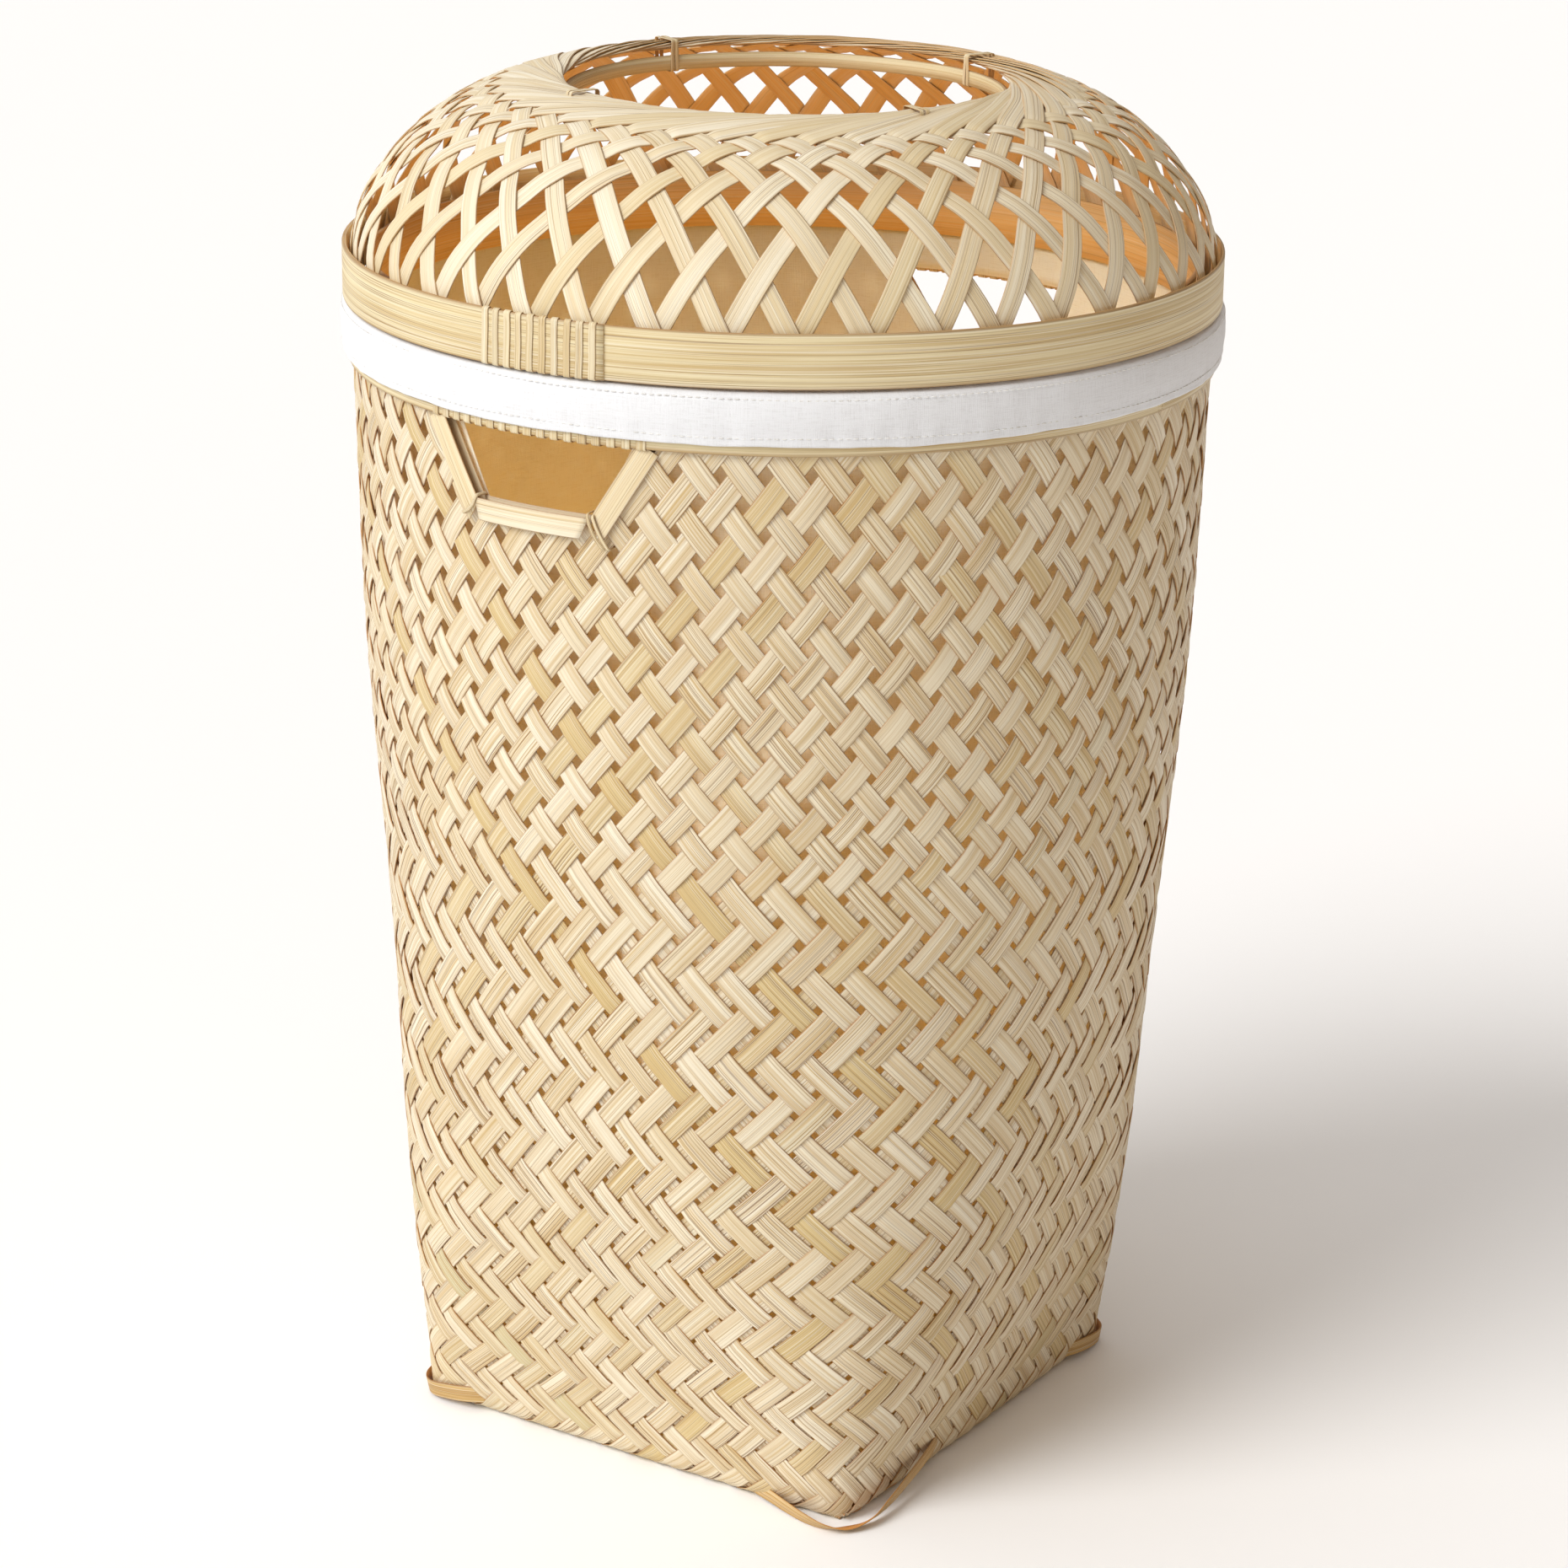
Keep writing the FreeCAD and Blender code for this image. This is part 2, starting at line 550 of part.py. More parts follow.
woven_lid = turned("woven_lid", [
    (cell("dome_radius"), cell("dome_bottom")),
    (cell("dome_radius"), shoulder_z),
    (joint_x, joint_z),
    (cell("hole_radius"), cell("dome_crown")),
    (cell("hole_radius"), cell("hole_edge_bottom")),
    (edge_x, cell("hole_edge_bottom")),
    (edge_x, edge_z),
    (inner_joint_x, inner_joint_z),
    (f"{cell('dome_radius')} - {thickness}", shoulder_z),
    (f"{cell('dome_radius')} - {thickness}", cell("skirt_top")),
    (cell("skirt_inside"), cell("skirt_top")),
    (cell("skirt_inside"), cell("dome_bottom")),
], {
    1: (shoulder_x, shoulder_z, shoulder),
    2: (crown_x, crown_z, crown),
    6: (crown_x, crown_z, f"{crown} - {thickness}"),
    7: (shoulder_x, shoulder_z, f"{shoulder} - {thickness}"),
})

tie_slot = new_sketch(woven_lid, "XY_Plane", "hole_tie_slot", cell("hole_edge_bottom"))
slot_half = f"({cell('hole_tie_width')} / 2 + {cell('slot_clearance')})"
slot_near = f"({cell('hole_tie_outside')} - {cell('wrap_gap')})"
slot_depth = f"(2 * {cell('wrap_gap')} + {cell('wrap_thickness')} + {cell('slot_clearance')})"
rectangle(tie_slot, f"-{slot_half}", slot_half, slot_near, f"{slot_near} + {slot_depth}")
slot_cut = cut_through(woven_lid, tie_slot, "hole_tie_slot_cut")
slot_pattern = woven_lid.newObject("PartDesign::PolarPattern", "hole_tie_slots")
slot_pattern.Originals = [slot_cut]
slot_pattern.Axis = (origin_feature(woven_lid, "Z_Axis"), [""])
slot_pattern.Angle = 360
slot_pattern.Occurrences = 4
woven_lid.Tip = slot_pattern
first_tie = number(cell("hole_tie_angle"))
woven_lid.Placement = FreeCAD.Placement(
    FreeCAD.Vector(), FreeCAD.Rotation(FreeCAD.Vector(0, 0, 1), first_tie)
)

hoop("lid_outer_hoop", "lid_hoop_inside", "lid_hoop_outside", "lid_hoop_bottom", "lid_hoop_top")
hoop("lid_inner_hoop", "lid_ring_inside", "lid_ring_outside", "lid_ring_bottom", "lid_ring_top")
wraps(
    "lid_hoop_lashing", cell("lid_hoop_inside"), cell("lid_hoop_outside"),
    cell("lid_hoop_bottom"), cell("lid_hoop_top"), "lid_wrap_width",
    number(cell("lid_wrap_angle")), "lid_wrap_count", "lid_wrap_step",
)
hoop("hole_hoop", "hole_hoop_inside", "hole_hoop_outside", "hole_hoop_bottom", "hole_hoop_top")
tie_places = ("front_right", "back_right", "back_left", "front_left")
for index, place in enumerate(tie_places):
    wraps(
        f"{place}_hole_tie", cell("hole_hoop_inside"), cell("hole_tie_outside"),
        cell("hole_hoop_bottom"), f"{cell('hole_tie_top')} - {cell('wrap_thickness')}",
        "hole_tie_width", first_tie + 90 * index,
    )

doc.recompute()

# ---------------------------------------------------------------- checks and files
for item in doc.Objects:
    if "Invalid" in item.State or "Error" in item.State:
        raise RuntimeError(f"{item.Name} did not build: {item.State}")
for part in sub_parts:
    shape = part.Shape
    if shape.isNull() or not shape.isValid() or not shape.Solids:
        raise RuntimeError(f"{part.Label} has no valid solid")

os.makedirs("parts", exist_ok=True)
for part in sub_parts:
    part.Shape.exportStep(f"parts/{part.Label}.step")
    box = part.Shape.BoundBox
    print(
        f"{part.Label:26s} solids {len(part.Shape.Solids):3d} volume {part.Shape.Volume:12.1f}"
        f"  x {box.XMin:8.1f} {box.XMax:8.1f}  y {box.YMin:8.1f} {box.YMax:8.1f}"
        f"  z {box.ZMin:7.1f} {box.ZMax:7.1f}"
    )
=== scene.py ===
"""Looks of the woven laundry basket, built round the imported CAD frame. Metres, the frame's own axes."""

import math

import bmesh
import bpy
import numpy as np
from mathutils import Matrix, Vector
from mathutils.bvhtree import BVHTree


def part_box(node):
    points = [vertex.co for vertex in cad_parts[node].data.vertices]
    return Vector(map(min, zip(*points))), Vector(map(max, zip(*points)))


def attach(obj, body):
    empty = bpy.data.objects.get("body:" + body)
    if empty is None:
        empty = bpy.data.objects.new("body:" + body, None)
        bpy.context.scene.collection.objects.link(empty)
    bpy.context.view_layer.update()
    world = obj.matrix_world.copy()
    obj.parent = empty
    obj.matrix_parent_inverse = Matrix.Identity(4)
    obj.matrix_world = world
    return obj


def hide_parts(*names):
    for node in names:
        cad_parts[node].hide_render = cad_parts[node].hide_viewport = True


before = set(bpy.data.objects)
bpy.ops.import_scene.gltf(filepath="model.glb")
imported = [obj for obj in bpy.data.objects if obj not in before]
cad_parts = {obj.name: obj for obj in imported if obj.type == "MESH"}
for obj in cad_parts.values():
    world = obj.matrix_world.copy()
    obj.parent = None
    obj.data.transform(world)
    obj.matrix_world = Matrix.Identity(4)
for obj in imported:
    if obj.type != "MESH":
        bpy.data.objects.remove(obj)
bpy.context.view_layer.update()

MM = 0.001
TURN = 2 * math.pi

# Basket plait: 64 strips a family round the wall, 16 to each side of the square base
SIDE = 16
AROUND = 4 * SIDE
STRIP_WIDTH = 11.1 * MM
STRIP_THICK = 0.6 * MM
WEAVE_LIFT = 0.5 * MM
WALL_INSET = 0.95 * MM
TWILL_TOP = 0.33
EDGE_ROUND = 10 * MM
FOOT_LEAN, LEAN_GAIN, LEAN_HEIGHT = 45, 9.1, 0.55  # degrees at the base, degrees more at a height
RIM_PITCH_MM = 12.4
TOP_EDGE = 9 * MM  # the strips' ends level off within this distance of the rim
BODY_WIDTHS, BODY_WANDER, BODY_TILTS = (0.89, 1.03), 0.6, (0.08, 0.3)
FOOT_WIDTH, FOOT_WIDENING, FOOT_HEIGHT = 0.955, 0.045, 0.09  # width's share at the base, more by a height
DRIFT, SWAY = 0.12 * MM, 0.35 * MM

# Lid plait: 42 strips, each tangent to a circle just outside the hole
LID_STRIPS = 42
LID_WIDTH = 10.0 * MM
LID_INSET = 1.5 * MM
LID_THICK = 0.65 * MM
LID_WIDTHS = (0.9, 1.04)
DENSE_RADIUS = 131 * MM  # inside this the strips lie over each other without gaps
DENSE_LIFT, OPEN_LIFT = 0.8 * MM, 0.55 * MM
LID_SWAY, LID_TREMBLE, LID_ROLL, SHINGLE = 0.5 * MM, 0.3 * MM, 0.3 * MM, 0.7 * MM
HOLE_DIP, HOLE_DIP_REACH = 1.2 * MM, 20 * MM  # the strips dip below the dome's edge at the hole

# Radii and heights that the CAD part's sheet gives and its nodes' boxes don't
RIM_IN, RIM_OUT, RIM_LOW, RIM_HIGH = 195.8 * MM, 202.6 * MM, 525 * MM, 551.4 * MM
LID_HOOP_IN, LID_HOOP_OUT = 202.6 * MM, 205.0 * MM
HOOP_INSIDE = {
    "rim_outer_hoop": 201.1 * MM,
    "rim_inner_hoop": RIM_IN,
    "lid_inner_hoop": 191.4 * MM,
    "hole_hoop": 100.3 * MM,
}
HOLE_TIE_BOX = (100.3 * MM, 114.4 * MM, 641 * MM, 655.3 * MM)

# Grip openings: lower edge, a corner of the slanting side, its slope, upper edge, part of the mesh to look at
STRIP_CUT = (488 * MM, (33 * MM, 488 * MM), (50.5 - 29.5) / 32, 525.2 * MM, (0.075, 0.47, 0.54))
BAG_CUT = (489.5 * MM, (28.5 * MM, 489 * MM), (47.5 - 28.5) / 38, 526.5 * MM, (0.08, 0.46, 0.545))


def rng(seed):
    return np.random.RandomState(seed)


# ---------------------------------------------------------------- materials


class Nodes:
    """A short way to write a node tree."""

    def __init__(self, name):
        self.material = bpy.data.materials.new(name)
        self.material.use_nodes = True
        self.tree = self.material.node_tree
        self.shader = self.tree.nodes["Principled BSDF"]

    def add(self, kind, **settings):
        node = self.tree.nodes.new(kind)
        for key, value in settings.items():
            setattr(node, key, value)
        return node

    def put(self, socket, value):
        if isinstance(value, bpy.types.NodeSocket):
            self.tree.links.new(value, socket)
        else:
            socket.default_value = value

    def math(self, operation, a, b=0.0):
        node = self.add("ShaderNodeMath", operation=operation)
        for socket, value in zip(node.inputs, (a, b, 0.0)):
            self.put(socket, value)
        return node.outputs[0]

    def times(self, a, b):
        return self.math("MULTIPLY", a, b)

    def mix(self, factor, a, b):
        node = self.add("ShaderNodeMix", data_type="RGBA")
        self.put(node.inputs["Factor"], factor)
        self.put(node.inputs[6], a)
        self.put(node.inputs[7], b)
        return node.outputs[2]

    def vector(self, x, y, z):
        node = self.add("ShaderNodeCombineXYZ")
        for socket, value in zip(node.inputs, (x, y, z)):
            self.put(socket, value)
        return node.outputs[0]

    def noise(self, vector, scale=1.0, detail=3.0, rough=0.6):
        node = self.add("ShaderNodeTexNoise")
        self.put(node.inputs["Vector"], vector)
        self.put(node.inputs["Scale"], scale)
        self.put(node.inputs["Detail"], detail)
        self.put(node.inputs["Roughness"], rough)
        return node.outputs["Fac"]

    def ramp(self, value, *stops):
        node = self.add("ShaderNodeValToRGB")
        while len(node.color_ramp.elements) < len(stops):
            node.color_ramp.elements.new(0.5)
        for element, (place, colour) in zip(node.color_ramp.elements, stops):
            element.position = place
            element.color = colour
        self.put(node.inputs[0], value)
        return node.outputs[0]

    def steps(self, value, *stops):
        """A grey ramp: stops are (place, brightness)."""
        return self.ramp(value, *[(place, (grey, grey, grey, 1)) for place, grey in stops])

    def bump(self, height, strength, distance):
        node = self.add("ShaderNodeBump")
        self.put(node.inputs["Height"], height)
        node.inputs["Strength"].default_value = strength
        node.inputs["Distance"].default_value = distance
        self.tree.links.new(node.outputs[0], self.shader.inputs["Normal"])

    def finish(self, colour, roughness, **constants):
        self.put(self.shader.inputs["Base Color"], colour)
        self.put(self.shader.inputs["Roughness"], roughness)
        for name, value in constants.items():
            self.shader.inputs[name.replace("_", " ")].default_value = value
        return self.material


def rgb(red, green, blue):
    """A colour as seen on a screen, 0 to 255, in linear light."""
    return tuple(
        (c / 12.92 if c <= 0.04045 else ((c + 0.055) / 1.055) ** 2.4)
        for c in (red / 255, green / 255, blue / 255)
    ) + (1.0,)


def bamboo(name, tones, streak, inner, fibre=1.0, relief=0.5, lining=1.0):
    """Split bamboo. "strip" holds the place across, the length along, the strip's number and inner face."""
    n = Nodes(name)
    mark = n.add("ShaderNodeAttribute", attribute_name="strip")
    parts = n.add("ShaderNodeSeparateColor")
    n.put(parts.inputs[0], mark.outputs["Color"])
    across, along, number = parts.outputs
    inside = mark.outputs["Alpha"]
    row = n.times(number, 91.0)

    def fibres(wide, long, shift, detail):
        wide, long = n.times(across, wide * fibre), n.times(along, long)
        return n.noise(n.vector(wide, long, n.math("ADD", row, shift)), detail=detail)

    fine = fibres(8.5, 6.0, 0.0, 3.0)
    broad = fibres(2.0, 7.0, 17.0, 2.0)
    lines = fibres(13.0, 2.6, 31.0, 1.0)
    painted_sheen = fibres(11.0, 3.4, 47.0, 2.0)
    patch = n.noise(n.vector(n.times(number, 37.0), n.times(along, 9.0), 3.0), detail=1.0)
    lined = n.times(n.steps(patch, (0.36, 0.35), (0.64, 1.0)), lining)
    base = n.ramp(n.math("FRACT", n.times(number, 7.31)), *tones)
    pale = n.mix(n.times(n.steps(broad, (0.36, 1.0), (0.6, 0.0)), 0.6), base, streak)
    # Painted sheen: pale streaks along the fibres, mixed toward BRIGHT
    pale = n.mix(n.times(n.steps(painted_sheen, (0.52, 0.0), (0.64, 1.0)), 0.6), pale, BRIGHT)
    pale = n.mix(n.times(n.steps(fine, (0.38, 1.0), (0.5, 0.0)), n.times(lined, 0.8)), pale, streak)
    grained = n.mix(n.times(n.steps(lines, (0.36, 1.0), (0.43, 0.0)), n.times(lined, 0.75)), pale, LINE)
    # Painted shade: the last tenth toward each edge of a strip is darkened toward a dark brown, for the thin
    # shadows between strips
    edge = n.steps(n.math("ABSOLUTE", across), (0.89, 0.0), (1.0, 1.0))
    edge_shaded = n.mix(n.times(edge, 0.75), grained, EDGE_SHADE)
    # The inner face's colour: the bamboo's own tone, deepened to orange as painted glow of light passed
    # through the strips
    turned = n.mix(n.steps(fine, (0.3, 0.15), (0.7, 0.55)), inner, grained)
    colour = n.mix(inside, edge_shaded, turned)
    n.bump(n.math("ADD", n.times(fine, 0.7), n.times(lines, 0.6)), relief, 0.3 * MM)
    roughness = n.steps(fine, (0.3, 0.62), (0.7, 0.44))
    return n.finish(colour, roughness, Specular_IOR_Level=0.45)


CREAM = rgb(230, 220, 197)
PALE = rgb(224, 211, 183)
MID = rgb(212, 195, 156)
YELLOW = rgb(206, 184, 132)
GREEN = rgb(196, 184, 140)
# Inner face: the bamboo's own tone with a painted orange glow of light passed through the strips
INNER_TONE_AND_GLOW = rgb(222, 140, 50)
BRIGHT = rgb(230, 221, 198)
LINE = rgb(116, 78, 34)
# Painted shade laid along the strips' edges
EDGE_SHADE = rgb(132, 86, 34)

# The fourth colour of each look is its inner face: its own tone, made orange in part as painted glow of light
# passed through the bamboo
weave_look = bamboo(
    "bamboo_weave",
    [
        (0.0, CREAM), (0.3, PALE), (0.55, CREAM), (0.72, MID),
        (0.84, PALE), (0.93, YELLOW), (0.97, CREAM), (1.0, GREEN),
    ],
    rgb(190, 158, 100),
    INNER_TONE_AND_GLOW,
)
lid_look = bamboo(
    "bamboo_lid",
    [(0.0, CREAM), (0.35, BRIGHT), (0.6, CREAM), (0.78, PALE), (0.9, MID), (1.0, PALE)],
    rgb(206, 182, 134),
    rgb(246, 200, 132),
    lining=0.7,
)
hoop_look = bamboo(
    "bamboo_hoop",
    [(0.0, rgb(213, 196, 152)), (0.5, rgb(219, 204, 164)), (1.0, rgb(207, 186, 136))],
    rgb(186, 156, 100),
    rgb(228, 180, 106),
    fibre=2.2,
)
lashing_look = bamboo(
    "bamboo_lashing",
    [(0.0, rgb(226, 215, 186)), (0.5, rgb(220, 206, 170)), (1.0, rgb(214, 196, 154))],
    rgb(190, 160, 106),
    rgb(190, 136, 66),
    fibre=0.6,
)
trim_look = bamboo(
    "bamboo_trim", [(0.0, CREAM), (1.0, rgb(224, 208, 172))], rgb(204, 176, 122), rgb(222, 160, 82)
)
loop_look = bamboo(
    "bamboo_loop",
    [(0.0, rgb(196, 160, 98)), (1.0, rgb(208, 178, 118))],
    rgb(166, 124, 66),
    rgb(206, 128, 50),
    fibre=0.8,
)


WARP_THREADS = 1900.0  # threads round the cloth
WEFT_THREADS = 9000.0  # radians of thread per metre up


def cloth_look(name, colour, shade, contrast=1.0, glow=0.0):
    """Plain-woven linen-like cotton: two sets of threads with slubs."""
    n = Nodes(name)
    place = n.add("ShaderNodeTexCoord").outputs["Object"]
    parts = n.add("ShaderNodeSeparateXYZ")
    n.put(parts.inputs[0], place)
    x, y, z = parts.outputs
    round_about = n.math("ARCTAN2", y, x)
    warp = n.math("SINE", n.times(round_about, WARP_THREADS))
    weft = n.math("SINE", n.times(z, WEFT_THREADS))

    def slubs(wide, high, shift):
        spot = n.vector(n.times(round_about, wide), n.times(z, high), shift)
        return n.noise(spot, detail=2.0)

    level, upright = slubs(24.0, 1300.0, 0.0), slubs(400.0, 120.0, 5.0)
    crumple = n.noise(place, scale=30.0, detail=3.0)
    thread = n.math("ADD", warp, weft)
    uneven = n.math("ADD", level, upright)
    tone = n.mix(n.times(n.steps(uneven, (0.75, 1.0), (1.1, 0.0)), contrast), colour, shade)
    relief = n.math("ADD", n.times(thread, 0.12), n.times(uneven, 0.8))
    relief = n.math("ADD", relief, n.times(crumple, 1.5))
    n.bump(relief, 0.35, 0.3 * MM)
    return n.finish(
        tone, n.steps(level, (0.3, 0.95), (0.7, 0.85)), Specular_IOR_Level=0.15, Sheen_Weight=0.15,
        Subsurface_Weight=glow, Subsurface_Radius=(1.0, 0.9, 0.8), Subsurface_Scale=2.5 * MM,
    )


cuff_look = cloth_look("cotton_cuff", rgb(225, 226, 228), rgb(213, 213, 214), 0.7)
# Painted light: the bag's cream-gold tint stands for warm light passed on by the bamboo; the cloth itself is
# white like the cuff
bag_look_painted_warm = cloth_look("cotton_bag", rgb(247, 232, 200), rgb(238, 220, 182), 0.8, glow=1.0)
thread_look = cloth_look("cotton_thread", rgb(232, 231, 228), rgb(196, 192, 184))
elastic_look = cloth_look("elastic_band", rgb(220, 218, 212), rgb(190, 186, 178))


# ---------------------------------------------------------------- meshes


class Ribbons:
    """Gathers strips of one family, with the marks that the bamboo material reads."""

    def __init__(self):
        self.points, self.marks, self.faces = [], [], []
        self.count = 0

    def add(self, grid, across, inner, number, closed=False):
        """grid is stations by corners by 3; across and inner are per corner."""
        stations, corners = grid.shape[:2]
        middle = grid.mean(1)
        steps = np.linalg.norm(np.diff(middle, axis=0), axis=1)
        along = np.r_[0, np.cumsum(steps)] + number * 3.1
        marks = np.empty((stations, corners, 4))
        marks[:, :, 0] = across
        marks[:, :, 1] = along[:, None]
        marks[:, :, 2] = number
        marks[:, :, 3] = inner
        index = self.count + np.arange(stations * corners).reshape(stations, corners)
        if closed:
            index = np.vstack([index, index[:1]])
        a, b = index[:-1], index[1:]
        quads = np.stack([a, np.roll(a, -1, 1), np.roll(b, -1, 1), b], -1).reshape(-1, 4)
        self.faces += quads.tolist()
        if not closed:
            self.faces += [index[0][::-1].tolist(), index[-1].tolist()]
        self.points.append(grid.reshape(-1, 3))
        self.marks.append(marks.reshape(-1, 4))
        self.count += stations * corners

    def build(self, name, material, body, slot, nodes=()):
        mesh = bpy.data.meshes.new(name)
        mesh.from_pydata(np.vstack(self.points).tolist(), [], self.faces)
        mesh.update()
        marks = mesh.attributes.new("strip", "FLOAT_COLOR", "POINT")
        marks.data.foreach_set("color", np.vstack(self.marks).astype(np.float32).ravel())
        solid = bmesh.new()
        solid.from_mesh(mesh)
        bmesh.ops.recalc_face_normals(solid, faces=solid.faces)
        solid.to_mesh(mesh)
        solid.free()
        mesh.polygons.foreach_set("use_smooth", [True] * len(mesh.polygons))
        return place(name, mesh, material, body, slot, nodes)


def link(name, data):
    thing = bpy.data.objects.new(name, data)
    bpy.context.scene.collection.objects.link(thing)
    return thing


def place(name, mesh, material, body, slot, nodes=()):
    piece = link(name, mesh)
    mesh.materials.append(material)
    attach(piece, body)
    if nodes:
        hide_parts(*nodes)
    return piece


def section(width, thick, crown=0.05):
    """Corners of a strip's cross-section: offsets across and through, and which are on the inner face."""
    half, edge = width / 2, min(0.2 * MM, thick * 0.35)
    across = np.array(
        [-half + edge, -half + 3 * edge, half - 3 * edge, half - edge, half, half - edge, -half + edge, -half]
    )
    through = thick / 2 * np.array([0.85, 1 + crown, 1 + crown, 0.85, 0, -1, -1, 0])
    inner = np.array([0, 0, 0, 0, 0.3, 1, 1, 0.3])
    return across, through, inner


# ---------------------------------------------------------------- the wall's surface, read from the CAD node


def tree_of(node):
    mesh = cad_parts[node].data
    corners = [v.co[:] for v in mesh.vertices]
    return BVHTree.FromPolygons(corners, [tuple(p.vertices) for p in mesh.polygons])


wall_tree = tree_of("woven_body")
wall_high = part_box("woven_body")[1]
LEVELS = np.r_[1 * MM, np.arange(0.0125, wall_high.z - MM, 0.0075), wall_high.z - 0.5 * MM]
CORNER_SPREAD = 0.11  # how much closer together the strips are at the corners
EIGHTH = np.radians(np.linspace(0.02, 44.98, 46))
HALF = SIDE / 2
SHARES = np.linspace(0, HALF, 41)
SPREAD_TOP = 0.36  # height over which the pitch is uneven round a side
SQUARE_TOP = 0.06  # height up to which the strips keep to the base's square grid


def wall_radius(angle, z):
    way = Vector((math.cos(angle), math.sin(angle), 0))
    hit = wall_tree.ray_cast(way * 0.5 + Vector((0, 0, z)), -way)[0]
    return hit.xy.length


def wall_tables():
    """For each level and each of 8 shares of half a side: the angle and the outer radius there."""
    angles, radii, pitch = [], [], []
    for z in LEVELS:
        radius = np.array([wall_radius(a, z) for a in EIGHTH])
        x, y = radius * np.cos(EIGHTH), radius * np.sin(EIGHTH)
        length = np.r_[0, np.cumsum(np.hypot(np.diff(x), np.diff(y)))]
        crowd = CORNER_SPREAD * math.sin(min(z / SPREAD_TOP, 1.0) ** 0.7 * math.pi)
        share = SHARES / HALF - crowd * np.sin(SHARES / HALF * math.pi) / math.pi
        even = np.interp(share * length[-1], length, EIGHTH)
        square = np.arctan(SHARES / HALF)
        blend = min(z / SQUARE_TOP, 1.0)
        blend = blend * blend * (3 - 2 * blend)
        angle = (1 - blend) * square + blend * even
        angles.append(angle)
        radii.append(np.interp(angle, EIGHTH, radius))
        pitch.append(length[-1] / HALF)
    return np.array(angles), np.array(radii), np.array(pitch)


WALL_ANGLE, WALL_RADIUS, WALL_PITCH = wall_tables()
BASE_HALF = float(WALL_RADIUS[0, 0])
BASE_PITCH = BASE_HALF / HALF


def lookup(table, z, share):
    i = np.clip(np.interp(z, LEVELS, np.arange(len(LEVELS))), 0, len(LEVELS) - 1.001)
    j = np.clip(share * 5, 0, len(SHARES) - 1.001)
    a, b = i.astype(int), j.astype(int)
    p, q = i - a, j - b
    low = (1 - q) * table[a, b] + q * table[a, b + 1]
    high = (1 - q) * table[a + 1, b] + q * table[a + 1, b + 1]
    return (1 - p) * low + p * high


def pitch_at(z):
    return np.interp(z, LEVELS, WALL_PITCH)


def on_wall(u, s):
    """A point of the outer skin: u strips round from the front left corner, s up, below 0 under the base."""
    side = np.floor(u / SIDE)
    share = u - side * SIDE - SIDE / 2
    facing = (side - 1) * math.pi / 2
    z = np.maximum(s, 0)
    angle = facing + np.sign(share) * lookup(WALL_ANGLE, z, np.abs(share))
    radius = lookup(WALL_RADIUS, z, np.abs(share))
    under = np.maximum(-s, 0)
    x = radius * np.cos(angle) - np.cos(facing) * under
    y = radius * np.sin(angle) - np.sin(facing) * under
    return np.stack([x, y, z], -1)


def unit(v):
    return v / np.maximum(np.linalg.norm(v, axis=-1, keepdims=True), 1e-12)


def wall_sharp(u, s):
    """Point and outward normal, with a sharp edge between wall and base."""
    point = on_wall(u, s)
    z = np.maximum(s, 0.5 * MM)
    across = on_wall(u + 0.04, z) - on_wall(u - 0.04, z)
    up = on_wall(u, z + 1.5 * MM) - on_wall(u, z)
    normal = unit(np.cross(across, up))
    below = (s < 0)[..., None]
    return point, np.where(below, np.array([0.0, 0.0, -1.0]), normal)


TAPS = np.linspace(-1, 1, 9)
TAP_WEIGHTS = np.cos(TAPS * math.pi / 2 * 0.92) / np.cos(TAPS * math.pi / 2 * 0.92).sum()


def wall_skin(u, s):
    """Point and normal with the edge between wall and base rounded off."""
    point, normal = wall_sharp(u, s)
    near = np.abs(s) < EDGE_ROUND
    if near.any():
        p, n = 0, 0
        for tap, weight in zip(TAPS, TAP_WEIGHTS):
            a, b = wall_sharp(u[near], s[near] + tap * EDGE_ROUND * (1 - np.abs(s[near]) / EDGE_ROUND) ** 0.5)
            p, n = p + a * weight, n + b * weight
        point[near], normal[near] = p, unit(n)
    return point, normal


# Rows of crossings up the wall: where row k is
ROW_STEP = 0.05


def row_heights():
    z, heights = 0.0, [0.0]
    while z < wall_high.z:
        lean = math.radians(FOOT_LEAN + LEAN_GAIN * z / LEAN_HEIGHT)
        face = np.interp([z, z + MM], LEVELS, WALL_RADIUS[:, 0])
        steep = 1 / math.hypot(1, (face[1] - face[0]) / MM)
        z += ROW_STEP * pitch_at(z) / 2 * math.tan(lean) * steep
        heights.append(z)
    return np.array(heights)


ROW_Z = row_heights()
ROW_K = np.arange(len(ROW_Z)) * ROW_STEP
WALL_TOP = wall_high.z - 0.6 * MM
LAST_ROW = float(np.interp(WALL_TOP, ROW_Z, ROW_K))
PLAIN_ROW = 4 * round(float(np.interp(TWILL_TOP, ROW_Z, ROW_K)) / 4)


def row_over(row):
    """True where the strips that lean right lie over, in a row of the wall."""
    return row % 4 in (0, 1) if row < PLAIN_ROW else row % 2 == 0


def wave(heights, t):
    """Height of a strip between its crossings."""
    i = np.clip(np.floor(t).astype(int), 0, len(heights) - 2)
    f = np.clip((t - i - 0.5) / 0.62 + 0.5, 0, 1)
    f = f * f * (3 - 2 * f)
    return heights[i] * (1 - f) + heights[i + 1] * f


SAMPLES = 4


